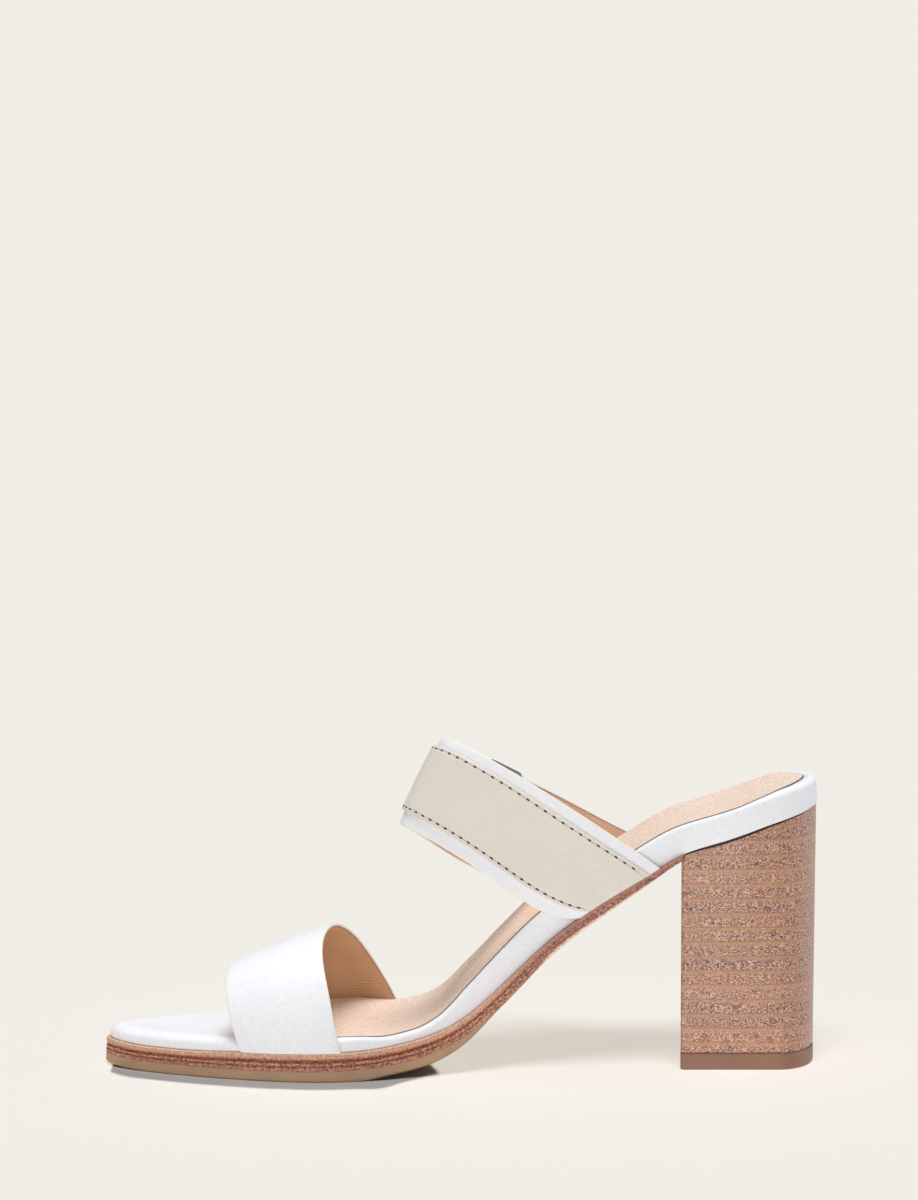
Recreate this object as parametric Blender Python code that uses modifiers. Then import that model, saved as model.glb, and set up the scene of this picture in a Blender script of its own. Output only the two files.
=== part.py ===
"""A two-strap slide sandal on a stacked block heel: the right shoe of a pair.

Frame: +Z up, the toe towards -X, the inner (medial) side towards -Y, the origin on the ground
under the middle of the shoe. Shapes are worked out in millimetres and built in metres.

The sole follows one curve, the seam line between foot bed and welt. A place on the sole is a
station (millimetres behind the toe tip), an inset from the outline and a height square to the
seam line. The straps are arches that spring from the sole's edge over the crest of the foot.
"""

import math

import bmesh
import bpy
import numpy as np
from mathutils import Matrix, Vector

MM = 0.001
LENGTH = 231.8  # outline from toe tip to the back of the heel seat
MID_STATION = 114.6  # station over the origin
MID_LINE = -4.5  # the frame's middle, measured from the heel's centre line
GAP = 0.3  # clearance between pieces that touch
SECTIONS = 46  # along the whole sole

BED_INSET = 2.2  # foot bed wall, inside the welt's edge
SHOULDER = 1.5  # rounding of the foot bed's top edge
SOCK_INSET = 4.1  # sock's edge, inside the welt's edge
SOCK_THICK = 0.9
SOCK_FRONT = 61.0  # middle of the sock's front edge, which lies under the front strap
SOCK_LEAN = 18.0  # how much further back its outer end is than its inner end
TOE_SPRING = 0.7
SPRING_RUN = 16.0  # length of the sole that the toe spring lifts
FLAT_END = 80.0  # the forefoot lies flat on the ground up to this station
RUBBER_END = 121.8  # rubber in front of it, leather waist behind
BREAST = 184.6  # front face of the heel
TREAD_INSET, RUBBER_INSET = 0.7, 0.1  # the rubber's edge below and above, inside the welt's
WAIST_BEVEL, WAIST_INSET = 1.6, 0.4  # the same for the waist sole
THIRDS = (0.33, 0.67)
STRAP_WALL = 1.6
BAND_WALL = 1.1

HEEL_BACK = 228.2  # back of the top piece
HEEL_HALF_WIDTH = 21.4  # at the ground
HEEL_ROUND = 12.0  # depth of the heel's rounded back
SEAT_INSET = BED_INSET + 0.4  # heel's edge at the seat, inside the welt's
TOP_PIECE = 5.5  # thickness of the replaceable top piece
HEEL_CENTRE = Vector((0.5 * (BREAST + HEEL_BACK) - MID_STATION, -MID_LINE, 0.0))

# Side view. A row for each section: station, height of the seam line above the ground, and
# the thickness of foot bed, welt and bottom sole there.
PROFILE = [
    # station, height, bed, welt, sole
    (0.0, 9.6, 4.0, 5.5, 3.4),
    (14.0, 8.9, 4.1, 5.5, 3.4),
    (40.0, 8.9, 4.1, 5.5, 3.4),
    (70.0, 9.2, 4.0, 5.6, 3.4),
    (84.0, 9.7, 3.3, 5.6, 3.4),
    (94.0, 10.8, 2.1, 5.6, 3.4),
    (102.0, 12.4, 2.2, 5.4, 3.4),
    (109.0, 14.6, 3.3, 4.7, 3.1),
    (115.0, 17.8, 4.8, 3.9, 2.5),
    (122.0, 23.2, 6.3, 3.3, 1.7),
    (132.0, 32.6, 7.1, 3.1, 1.5),
    (145.0, 44.4, 7.8, 3.0, 1.4),
    (158.0, 53.6, 8.0, 2.8, 1.2),
    (172.0, 62.2, 7.9, 2.4, 1.0),
    (186.0, 70.6, 7.8, 2.0, 0.9),
    (200.0, 75.2, 7.7, 2.0, 0.9),
    (215.0, 80.4, 7.3, 2.0, 0.9),
    (231.8, 84.9, 6.8, 2.0, 0.9),
]

# Plan view. A row for each section: station, and the welt's edge to the inner and the outer
# side of the heel's centre line. The forefoot swings inwards, the joint is widest.
OUTLINE = [
    # station, inner, outer
    (0.0, -8.5, -8.5),
    (1.0, -12.7, -4.2),
    (3.2, -16.0, -0.9),
    (8.0, -20.8, 3.2),
    (14.6, -25.4, 7.8),
    (28.0, -32.4, 14.8),
    (44.0, -38.9, 22.2),
    (57.0, -42.6, 28.0),
    (70.0, -44.1, 32.4),
    (84.0, -41.6, 35.2),
    (98.0, -35.8, 35.0),
    (112.0, -30.3, 31.8),
    (126.0, -26.8, 29.3),
    (142.0, -25.2, 28.2),
    (160.0, -25.3, 27.8),
    (186.0, -26.6, 27.6),
    (204.0, -27.6, 27.9),
    (216.0, -25.6, 25.9),
    (224.0, -20.6, 20.9),
    (229.2, -12.0, 12.4),
    (231.8, 0.3, 0.3),
]
INNER, OUTER = -1, 1

# Straps: a row for each edge, front then rear. inner and outer are the stations where the edge
# meets the welt, crest_* its highest point, slant its turn across the crest, bow how far it
# swings backwards halfway up the inner side, and bow_at where along that side it swings most.
EDGE = ("inner", "outer", "crest_x", "crest_y", "crest_z", "slant", "bow", "bow_at", "outer_bow")
FRONT_STRAP = [
    dict(zip(EDGE, (43.7, 61.8, 42.2, -12.0, 32.9, 0.27, 0.0, 0.5, 0.0))),
    dict(zip(EDGE, (76.5, 92.8, 72.1, -5.0, 42.9, 0.20, 0.0, 0.5, 0.0))),
]
INSTEP_STRAP = [
    dict(zip(EDGE, (151.9, 146.4, 96.4, -4.0, 76.2, -0.29, -3.7, 0.225, -2.0))),
    dict(zip(EDGE, (177.7, 177.8, 111.0, -3.0, 104.1, -0.56, 0.0, 0.5, 1.4))),
]
FRONT_FULLNESS = {INNER: 2.2, OUTER: 2.1}
INSTEP_FULLNESS = {INNER: 2.2, OUTER: 2.1}
CROWN = 0.6  # rise of a strap's middle over its edges

# The band and its buckle on the instep strap. Distances up the strap are measured from the
# outer welt, distances across it from the band's middle, heights from the strap's outside.
BAND_LOW, BAND_HIGH = 0.14, 0.885  # the band's edges, as parts of the strap's width
BAND_TUCK = 0.235  # its lower edge where the band goes under the foot
BAND_DRIFT = 0.025  # how much nearer the strap's rear edge it lies on the outer side
BAND_TIP = 9.0  # where the free end stops
BAND_OVER = 5.5  # the band's underside where it passes over the hinge bar
TIP_ROUND = 9.0  # length of the rounded tip
BAR_AT = 40.0  # hinge bar of the buckle
FRAME_REACH = 13.0  # from the hinge bar to the front bar
FRAME_HEIGHT = 3.0  # the frame's centre line
FRAME_SLACK = 1.3  # between the band's edge and the frame
FRAME_CORNER = 3.0
WIRE = 0.9  # radius of the frame's wire
PRONG_WIRE = 0.5
PRONG_SLOT = Vector((7.5, 2.0, 12.0))  # opening in the band: along, across and through it
LOOP_SLOT = Vector((7.0, 2.2, 12.0))  # opening in the tab's loop
TAB_WALL = 0.8
TAB_SHY = 1.0  # the tab is this much narrower than the band on each side
TAB_RETURN = 12.0  # the loop's end is stitched down this far from the hinge bar
LOOP_RADIUS = WIRE + GAP + TAB_WALL  # outside of the tab's loop round the hinge bar
BUCKLE_U = 0.8  # where along the strap the buckle's width is taken

COLOURS = {
    # name: (linear red, green, blue), roughness, metallic
    "white_leather": ((0.83, 0.84, 0.87), 0.45, 0.0),
    "beige_leather": ((0.74, 0.68, 0.60), 0.55, 0.0),
    "sock_leather": ((0.85, 0.65, 0.48), 0.6, 0.0),
    "stacked_leather": ((0.42, 0.22, 0.13), 0.55, 0.0),
    "heel_stack": ((0.46, 0.27, 0.17), 0.55, 0.0),
    "waist_leather": ((0.72, 0.50, 0.36), 0.5, 0.0),
    "rubber": ((0.30, 0.22, 0.14), 0.7, 0.0),
    "top_piece": ((0.28, 0.15, 0.10), 0.6, 0.0),
    "steel": ((0.75, 0.75, 0.77), 0.2, 1.0),
}


# ---------------------------------------------------------------- curves of the last


def smooth_curve(xs, ys):
    """A curve through the points that never overshoots them (monotone cubic)."""
    xs = np.array(xs, float)
    ys = np.array(ys, float)
    steps = np.diff(xs)
    rises = np.diff(ys) / steps
    slopes = np.concatenate(([rises[0]], np.zeros(len(xs) - 2), [rises[-1]]))
    for i in range(1, len(xs) - 1):
        if rises[i - 1] * rises[i] > 0:
            before = 2 * steps[i] + steps[i - 1]
            after = steps[i] + 2 * steps[i - 1]
            slopes[i] = (before + after) / (before / rises[i - 1] + after / rises[i])

    def curve(x):
        x = min(max(x, xs[0]), xs[-1])
        i = int(min(max(np.searchsorted(xs, x) - 1, 0), len(steps) - 1))
        t = (x - xs[i]) / steps[i]
        ends = ys[i] * (1 + 2 * t) * (1 - t) ** 2 + ys[i + 1] * t * t * (3 - 2 * t)
        turns = slopes[i] * t * (1 - t) ** 2 + slopes[i + 1] * t * t * (t - 1)
        return float(ends + turns * steps[i])

    return curve


def ease(t):
    """0 to 1 with level ends."""
    t = min(max(t, 0.0), 1.0)
    return t * t * (3 - 2 * t)


def turn_of(station):
    """The outline's parameter, 0 to 1, which crowds the stations at its round ends."""
    return math.acos(1 - 2 * min(max(station, 0.0), LENGTH) / LENGTH) / math.pi


def station_of(turn):
    return LENGTH * (1 - math.cos(math.pi * turn)) / 2


STATIONS, HEIGHTS, BEDS, WELTS, SOLES = zip(*PROFILE)
seam_height = smooth_curve(STATIONS, HEIGHTS)
bed_thickness = smooth_curve(STATIONS, BEDS)
welt_thickness = smooth_curve(STATIONS, WELTS)
sole_thickness = smooth_curve(STATIONS, SOLES)

TURNS = [turn_of(row[0]) for row in OUTLINE]
SIDE_CURVE = {
    INNER: smooth_curve(TURNS, [row[1] for row in OUTLINE]),
    OUTER: smooth_curve(TURNS, [row[2] for row in OUTLINE]),
}


def upright(station):
    """The direction square to the seam line in the side view, upright at the heel's back."""
    reach = 2.5
    low = max(station - reach, 0.0)
    high = min(station + reach, LENGTH)
    slope = (seam_height(high) - seam_height(low)) / (high - low)
    slope *= 1 - 0.75 * ease((station - 195.0) / (LENGTH - 195.0))
    return Vector((-slope, 0.0, 1.0)).normalized()


def outline_point(side, station, inset):
    """A point of the plan outline, moved inwards: station and distance from the heel line."""
    turn = turn_of(station)
    curve = SIDE_CURVE[side]
    step = 0.001
    low = max(turn - step, 0.0)
    high = min(turn + step, 1.0)
    run = station_of(high) - station_of(low)
    rise = curve(high) - curve(low)
    if turn <= step or turn >= 1 - step:
        run = 0.0
        rise = side if turn <= step else -side
    long = math.hypot(run, rise)
    return station + side * rise / long * inset, curve(turn) - side * run / long * inset


def on_sole(side, station, inset, height):
    """A point on the sole's side, in millimetres."""
    x, y = outline_point(side, station, inset)
    foot = Vector((x - MID_STATION, y - MID_LINE, seam_height(x)))
    return foot + upright(x) * height


# ---------------------------------------------------------------- straps


def band_edges(u):
    """The band's front and rear edges, as parts of the strap's width."""
    drift = BAND_DRIFT * ease((u - 0.45) / 0.2)
    tuck = (BAND_TUCK - BAND_LOW) * (1 - ease(u / 0.06))
    return BAND_LOW + tuck + drift, BAND_HIGH + drift


class StrapForm:
    """The inside surface of a strap. u runs over it from the inner to the outer welt, v from
    its front to its rear edge; height is square to the surface."""

    ROWS, COLUMNS, DENSE = 160, 16, 200

    def __init__(self, edges, fullness):
        self.edges = edges
        self.fullness = fullness
        ribs = [self.rib(j / self.COLUMNS) for j in range(self.COLUMNS + 1)]
        self.grid = np.array(ribs).transpose(1, 0, 2)
        middle = self.grid[:, self.COLUMNS // 2]
        self.length = float(np.linalg.norm(np.diff(middle, axis=0), axis=1).sum())

    def edge(self, name, v):
        return self.edges[0][name] + (self.edges[1][name] - self.edges[0][name]) * v

    def quarter(self, side, v):
        """From the welt to the crest: a quarter of a full arch that hugs the bed's wall."""
        station = self.edge("inner" if side == INNER else "outer", v)
        wall_inset = BED_INSET - GAP
        base = on_sole(side, station, wall_inset, GAP)
        crest = Vector(
            (
                self.edge("crest_x", v) - MID_STATION,
                self.edge("crest_y", v) - MID_LINE,
                self.edge("crest_z", v) + CROWN * 4 * v * (1 - v),
            )
        )
        lean = self.edge("slant", v) * (base.y - crest.y)
        root = Vector((base.x - lean, crest.y, base.z))
        square = upright(station)
        along = Vector((square.z, 0.0, -square.x))
        rise = crest - root
        drift = rise.dot(along) / rise.dot(square) * along.x
        across = Vector((rise.z, 0.0, -rise.x)).normalized()
        bow = self.edge("bow" if side == INNER else "outer_bow", v)
        skew = math.log(0.5) / math.log(self.edge("bow_at", v)) if side == INNER else 1.0
        points = []
        for i in range(self.DENSE + 1):
            angle = math.pi / 2 * i / self.DENSE
            out = max(math.cos(angle), 0.0) ** (2 / self.fullness[side])
            up = max(math.sin(angle), 0.0) ** (2 / self.fullness[side])
            point = root + (base - root) * out + (crest - root) * up
            above = max((point - base).dot(square), 0.0)
            wall_station = station + drift * 10 * math.tanh(above / 10)
            wall = outline_point(side, wall_station, wall_inset)[1] - MID_LINE
            point.y = crest.y + (wall - crest.y) * out
            points.append(point + across * bow * math.sin(math.pi * up**skew) ** 2)
        return points

    def rib(self, v):
        """The arch at v, as evenly spaced points."""
        whole = self.quarter(INNER, v) + self.quarter(OUTER, v)[-2::-1]
        dense = np.array(whole)
        travel = np.concatenate(([0], np.cumsum(np.linalg.norm(np.diff(dense, axis=0), axis=1))))
        even = np.linspace(0, travel[-1], self.ROWS + 1)
        return np.stack([np.interp(even, travel, dense[:, k]) for k in range(3)], axis=1)

    def surface(self, u, v):
        row = min(max(u, 0.0), 1.0) * self.ROWS
        column = min(max(v, 0.0), 1.0) * self.COLUMNS
        i = min(int(row), self.ROWS - 1)
        j = min(int(column), self.COLUMNS - 1)
        a, b = row - i, column - j
        near = self.grid[i, j] * (1 - b) + self.grid[i, j + 1] * b
        far = self.grid[i + 1, j] * (1 - b) + self.grid[i + 1, j + 1] * b
        return Vector(near * (1 - a) + far * a)

    def point(self, u, v, height=0.0):
        place = self.surface(u, v)
        if height == 0.0:
            return place
        along = self.surface(u + 0.015, v) - self.surface(u - 0.015, v)
        across = self.surface(u, v + 0.08) - self.surface(u, v - 0.08)
        return place + across.cross(along).normalized() * height

    def width(self, u):
        return (self.surface(u, 1.0) - self.surface(u, 0.0)).length

    def laid(self, up, across, height):
        """A point by its distances in millimetres: up the strap from the outer welt, across
        it from the band's middle, and above its outside."""
        u = 1 - up / self.length
        low, high = band_edges(u)
        return self.point(u, (low + high) / 2 + across / self.width(u), STRAP_WALL + height)

    def band_half_width(self):
        return (BAND_HIGH - BAND_LOW) / 2 * self.width(BUCKLE_U)

    def axes(self, up):
        """A turned frame at a place up the strap: along, across and out of it."""
        along = (self.laid(up + 1.0, 0.0, 0.0) - self.laid(up - 1.0, 0.0, 0.0)).normalized()
        across = (self.laid(up, 1.0, 0.0) - self.laid(up, -1.0, 0.0)).normalized()
        out = along.cross(across).normalized()
        return Matrix((along, out.cross(along), out)).transposed()


# ---------------------------------------------------------------- Blender helpers


def material(name):
    made = bpy.data.materials.get(name)
    if made:
        return made
    colour, roughness, metallic = COLOURS[name]
    made = bpy.data.materials.new(name)
    made.use_nodes = True
    shader = made.node_tree.nodes["Principled BSDF"]
    shader.inputs["Base Color"].default_value = (*colour, 1.0)
    shader.inputs["Roughness"].default_value = roughness
    shader.inputs["Metallic"].default_value = metallic
    return made


def add_object(name, mesh, finish, collection, parent, location=Vector()):
    part = bpy.data.objects.new(name, mesh)
    part.location = location * MM
    part.parent = parent
    collection.objects.link(part)
    if finish:
        mesh.materials.clear()
        mesh.materials.append(material(finish))
    return part


def shaped_grid(columns, rows, shape, location=Vector()):
    """A grid of columns by rows cells whose corners shape(s, t) moves to their places in
    millimetres."""
    bm = bmesh.new()
    bmesh.ops.create_grid(bm, x_segments=columns, y_segments=rows, size=0.5)
    for vert in bm.verts:
        vert.co = (shape(vert.co.x + 0.5, vert.co.y + 0.5) - location) * MM
    return bm


def finish_mesh(bm, name, closed):
    """Merges corners that meet, fills open round ends and makes the mesh."""
    bmesh.ops.remove_doubles(bm, verts=bm.verts, dist=0.00002)
    if closed:
        open_edges = [edge for edge in bm.edges if edge.is_boundary]
        if open_edges:
            bmesh.ops.holes_fill(bm, edges=open_edges, sides=0)
        bmesh.ops.recalc_face_normals(bm, faces=bm.faces)
    mesh = bpy.data.meshes.new(name)
    bm.to_mesh(mesh)
    bm.free()
    mesh.shade_smooth()
    mesh.set_sharp_from_angle(angle=math.radians(35))
    return mesh


def loft(name, sections, location=Vector()):
    """A closed solid through sections, each a ring of as many points."""
    columns = len(sections) - 1
    rows = len(sections[0])

    def shape(s, t):
        return sections[round(s * columns)][round(t * rows) % rows]

    bm = shaped_grid(columns, rows, shape, location)
    return finish_mesh(bm, name, closed=True)


def sheet(name, columns, rows, shape):
    """An open surface, for Solidify."""
    bm = shaped_grid(columns, rows, shape)
    return finish_mesh(bm, name, closed=False)


def thicken(part, wall):
    """Gives an open surface its wall. The sheets face the foot, and the wall grows away."""
    solid = part.modifiers.new("wall", "SOLIDIFY")
    solid.thickness = wall * MM
    solid.offset = -1.0
    solid.use_even_offset = True


def cut(part, cutter):
    hole = part.modifiers.new("cut", "BOOLEAN")
    hole.operation = "DIFFERENCE"
    hole.object = cutter


def wire(name, points, radius, closed, collection):
    """A wire along points, as a welded mesh."""
    path = bpy.data.curves.new(name, "CURVE")
    path.dimensions = "3D"
    path.bevel_depth = radius * MM
    path.bevel_resolution = 2
    path.use_fill_caps = not closed
    line = path.splines.new("POLY")
    line.points.add(len(points) - 1)
    for knot, place in zip(line.points, points):
        knot.co = (*(place * MM), 1.0)
    line.use_cyclic_u = closed
    guide = bpy.data.objects.new(name, path)
    collection.objects.link(guide)
    bpy.context.view_layer.update()
    evaluated = guide.evaluated_get(bpy.context.evaluated_depsgraph_get())
    mesh = bpy.data.meshes.new_from_object(evaluated)
    bpy.data.objects.remove(guide)
    bm = bmesh.new()
    bm.from_mesh(mesh)
    bpy.data.meshes.remove(mesh)
    return finish_mesh(bm, name, closed=True)


# ---------------------------------------------------------------- sole


def spaced_stations(start, end):
    """Stations from start to end, crowded where the outline is round. All layers share them,
    so that their facets lie on each other."""
    shared = [station_of(i / SECTIONS) for i in range(SECTIONS + 1)]
    space = 0.2 if start == 0.0 or end == LENGTH else 1.0
    return [start] + [place for place in shared if start + space < place < end - space] + [end]


def against_breast(section):
    """Slides a layer's last section along the seam line up to the heel's front face."""
    square = upright(BREAST)
    along = Vector((square.z, 0.0, -square.x))
    face = BREAST - GAP - MID_STATION
    return [place + along * ((face - place.x) / along.x) for place in section]


def to_ground(point):
    """Sets the forefoot's tread flat on the ground, with its toe spring."""
    station = point.x + MID_STATION
    lift = TOE_SPRING * max(1 - station / SPRING_RUN, 0.0) ** 2
    if station < FLAT_END:
        return Vector((point.x, point.y, lift))
    return Vector((point.x, point.y, max(point.z, 0.0)))


def ring(station, wall, top_fractions, bottom_fractions, tread=False, lean=0.0):
    """A section of a sole layer: up the inner wall, over the top, down the outer wall and
    back underneath. wall is a list of (inset, height) from the bottom to the top; lean is
    how much further back the outer wall is taken."""
    inner = [on_sole(INNER, station - lean / 2, inset, height) for inset, height in wall]
    outer = [on_sole(OUTER, station + lean / 2, inset, height) for inset, height in wall]
    if tread:
        inner[0] = to_ground(inner[0])
        outer[0] = to_ground(outer[0])
    top = [inner[-1].lerp(outer[-1], f) for f in top_fractions]
    bottom = [outer[0].lerp(inner[0], f) for f in bottom_fractions]
    return inner + top + outer[::-1] + bottom


def outsole_mesh():
    sections = []
    for station in spaced_stations(0.0, RUBBER_END):
        top = -welt_thickness(station) - GAP / 2
        bottom = -welt_thickness(station) - sole_thickness(station)
        wall = [(TREAD_INSET, bottom), (RUBBER_INSET, bottom + 0.7), (RUBBER_INSET, top)]
        sections.append(ring(station, wall, THIRDS, THIRDS, tread=True))
    return loft("outsole", sections)


def midsole_mesh():
    """The stacked welt: two grooves round its side and a bead along the top."""
    groove = [
        # part of the thickness, inset
        (0.00, 0.25),
        (0.05, 0.00),
        (0.30, 0.00),
        (0.34, 0.35),
        (0.39, 0.00),
        (0.60, 0.00),
        (0.65, 0.60),
        (0.70, 0.60),
        (0.75, 0.00),
        (0.93, 0.00),
        (1.00, 0.45),
    ]
    sections = []
    for station in spaced_stations(0.0, BREAST - GAP):
        thick = welt_thickness(station) - GAP
        depth = min(thick / 5.0, 1.0)
        wall = [(inset * depth, thick * (part - 1) - GAP / 2) for part, inset in groove]
        sections.append(ring(station, wall, (0.5,), (0.5,)))
    sections[-1] = against_breast(sections[-1])
    return loft("midsole", sections)


def waist_mesh():
    """The thin leather sole of the waist, bevelled along its edge."""
    sections = []
    for station in spaced_stations(RUBBER_END + GAP, BREAST - GAP):
        top = -welt_thickness(station) - GAP / 2
        bottom = -welt_thickness(station) - sole_thickness(station)
        bevel = bottom + 0.65 * (top - bottom)
        wall = [(WAIST_BEVEL, bottom), (WAIST_INSET, bevel), (WAIST_INSET, top)]
        sections.append(ring(station, wall, THIRDS, THIRDS))
    sections[-1] = against_breast(sections[-1])
    return loft("waist_sole", sections)


def cup(fraction, station):
    """The foot bed's dish across its width, deeper under the heel and none at the tips."""
    depth = 0.3 + 0.5 * ease((station - 150.0) / 50.0)
    depth *= ease(station / 25.0) * ease((LENGTH - station) / 25.0)
    return -depth * (1 - (2 * fraction - 1) ** 2)


def dished_ring(station, wall, fractions, lean=0.0):
    """A section whose top is dished, over a flat underside."""
    section = ring(station, wall, fractions, fractions, lean=lean)
    first = len(wall)
    for i, fraction in enumerate(fractions):
        section[first + i] += upright(station) * cup(fraction, station)
    return section


def footbed_mesh():
    """The wrapped platform: upright wall, rounded shoulder and dished top."""
    sections = []
    for station in spaced_stations(0.0, LENGTH):
        top = bed_thickness(station)
        shoulder = min(SHOULDER, 0.7 * top)
        wall = [(BED_INSET, GAP / 2)]
        for degrees in (0, 30, 60, 90):
            angle = math.radians(degrees)
            inset = BED_INSET + shoulder * (1 - math.cos(angle))
            wall.append((inset, top - shoulder * (1 - math.sin(angle))))
        sections.append(dished_ring(station, wall, (0.25, 0.5, 0.75)))
    return loft("footbed", sections)


def sock_inset(station):
    """The sock stays further inside the edge round the heel."""
    return SOCK_INSET + 2.2 * ease((station - 205.0) / 22.0)


def insole_mesh():
    """The sock, a thin sheet that follows the dished foot bed."""
    fractions = (0.25, 0.5, 0.75)
    sections = []
    for station in spaced_stations(SOCK_FRONT, LENGTH):
        base = bed_thickness(station) + GAP
        inset = sock_inset(station)
        wall = [(inset, base), (inset + 0.5, base + SOCK_THICK)]
        lean = SOCK_LEAN * (1 - ease((station - SOCK_FRONT) / 30.0))
        section = dished_ring(station, wall, fractions, lean)
        under = len(section) - len(fractions)
        for i, fraction in enumerate(fractions):
            section[under + i] += upright(station) * cup(fraction, station)
        sections.append(section)
    return loft("insole", sections)


# ---------------------------------------------------------------- heel


def heel_half_width(station):
    """Half the heel's width at the ground: straight sides and an elliptical back."""
    past = (station - (HEEL_BACK - HEEL_ROUND)) / HEEL_ROUND
    return HEEL_HALF_WIDTH * math.sqrt(max(1 - max(past, 0.0) ** 2, 0.0))


def heel_steps(count):
    """0 to 1, crowded towards 1."""
    return [math.sin(math.pi / 2 * i / count) for i in range(count + 1)]


def heel_bottom_point(side, part):
    station = BREAST + (HEEL_BACK - BREAST) * part
    return Vector((station - MID_STATION, side * heel_half_width(station) - MID_LINE, 0.0))


def heel_top_point(side, part):
    """The seat's outline, just inside the foot bed's wall."""
    back = outline_point(OUTER, LENGTH, SEAT_INSET)[0]
    edge = outline_point(side, BREAST + (LENGTH - BREAST) * part, SEAT_INSET)
    station = BREAST + (back - BREAST) * part
    return Vector((station - MID_STATION, edge[1] - MID_LINE, seam_height(station) - GAP / 2))


def heel_mesh():
    """The stack: its foot has the top piece's outline, its seat that of the foot bed."""
    sections = []
    for part in heel_steps(16):
        columns = []
        for side in (INNER, OUTER):
            low = heel_bottom_point(side, part)
            low.z = TOP_PIECE + GAP
            high = heel_top_point(side, part)
            columns.append([low, low.lerp(high, 0.5), high])
        inner, outer = columns
        middle_top = inner[-1].lerp(outer[-1], 0.5)
        middle_low = outer[0].lerp(inner[0], 0.5)
        sections.append(inner + [middle_top] + outer[::-1] + [middle_low])
    return loft("heel", sections, HEEL_CENTRE)


def top_piece_mesh():
    sections = []
    for part in heel_steps(16):
        columns = []
        for side in (INNER, OUTER):
            foot = heel_bottom_point(side, part)
            columns.append([foot, foot + Vector((0, 0, TOP_PIECE))])
        inner, outer = columns
        sections.append(inner + outer[::-1])
    return loft("top_piece", sections, HEEL_CENTRE)


# ---------------------------------------------------------------- upper


def strap_sheet(name, form):
    return sheet(name, 40, 5, lambda s, t: form.point(s, t))


def band_height(up):
    """The band's underside above the strap: flat on it, over the hinge bar, then on the tab."""
    rise = ease((BAR_AT + FRAME_REACH - 2.5 - up) / 8.0)
    fall = ease((BAR_AT - 2.0 - up) / 8.0)
    settle = ease((BAR_AT - TAB_RETURN - up) / 8.0)
    step = GAP + TAB_WALL
    return GAP + (BAND_OVER - GAP) * rise - (BAND_OVER - GAP - 2 * step) * fall - step * settle


def band_sheet(form):
    """The band, from the inner welt to its rounded free end."""
    tip_u = 1 - BAND_TIP / form.length

    def shape(s, t):
        u = s * tip_u
        up = (1 - u) * form.length
        low, high = band_edges(u)
        past = max(1 - (up - BAND_TIP) / TIP_ROUND, 0.0)
        width = (high - low) * (0.35 + 0.65 * math.sqrt(1 - past**2))
        v = (low + high) / 2 + (t - 0.5) * width
        return form.point(u, v, STRAP_WALL + band_height(up))

    return sheet("instep_band", 52, 4, shape)


def tab_sheet(form):
    """The buckle tab: up the strap from the outer welt, round the hinge bar and back on
    itself."""
    side_view = [(up, GAP) for up in (0.5, 8.0, 16.0, 24.0, 32.0, 36.0)]
    for degrees in range(-90, 151, 30):
        angle = math.radians(degrees)
        up = BAR_AT + LOOP_RADIUS * math.cos(angle)
        side_view.append((up, FRAME_HEIGHT + LOOP_RADIUS * math.sin(angle)))
    doubled = 2 * (GAP + TAB_WALL)
    side_view += [(BAR_AT - TAB_RETURN * part, doubled) for part in (0.45, 0.72, 1.0)]
    columns = len(side_view) - 1
    half_width = form.band_half_width() - TAB_SHY

    def shape(s, t):
        up, height = side_view[round(s * columns)]
        return form.laid(up, (1 - 2 * t) * half_width, height)

    return sheet("buckle_tab", columns, 2, shape)


def frame_points(form):
    """The buckle frame's centre line: a rounded rectangle that follows the strap."""
    half_length = FRAME_REACH / 2 - FRAME_CORNER
    half_width = form.band_half_width() + FRAME_SLACK + WIRE - FRAME_CORNER
    points = []
    for corner, (toward_up, toward_side) in enumerate(((1, 1), (-1, 1), (-1, -1), (1, -1))):
        for step in range(4):
            angle = math.pi / 2 * (corner + step / 3)
            up = BAR_AT + FRAME_REACH / 2 + toward_up * half_length
            up += FRAME_CORNER * math.cos(angle)
            across = toward_side * half_width + FRAME_CORNER * math.sin(angle)
            points.append(form.laid(up, across, FRAME_HEIGHT))
        if corner == 1:
            points.append(form.laid(BAR_AT, 0.0, FRAME_HEIGHT))
        if corner == 3:
            points.append(form.laid(BAR_AT + FRAME_REACH, 0.0, FRAME_HEIGHT))
    return points


def prong_points(form):
    """The prong: hooked round the hinge bar, up through the band, over the front bar."""
    hook = WIRE + GAP + PRONG_WIRE
    places = []
    for degrees in range(-90, -271, -30):
        angle = math.radians(degrees)
        places.append((BAR_AT + hook * math.cos(angle), FRAME_HEIGHT + hook * math.sin(angle)))
    for reach in (0.35, 0.7, 1.0, 1.12):
        places.append((BAR_AT + reach * FRAME_REACH, FRAME_HEIGHT + hook))
    return [form.laid(up, 0.0, height) for up, height in places]


def slot_cutter(name, form, up, size, cutters):
    """A box square to the strap, to cut a slot for the prong."""
    bm = bmesh.new()
    bmesh.ops.create_cube(bm, size=1.0)
    for vert in bm.verts:
        vert.co = Vector(a * b for a, b in zip(vert.co, size)) * MM
    mesh = finish_mesh(bm, name, closed=True)
    cutter = bpy.data.objects.new(name, mesh)
    cutter.matrix_world = Matrix.Translation(form.laid(up, 0.0, 1.0) * MM) @ form.axes(up).to_4x4()
    cutter.hide_render = True
    cutter.display_type = "WIRE"
    cutters.objects.link(cutter)
    return cutter


# ---------------------------------------------------------------- assembly


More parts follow.
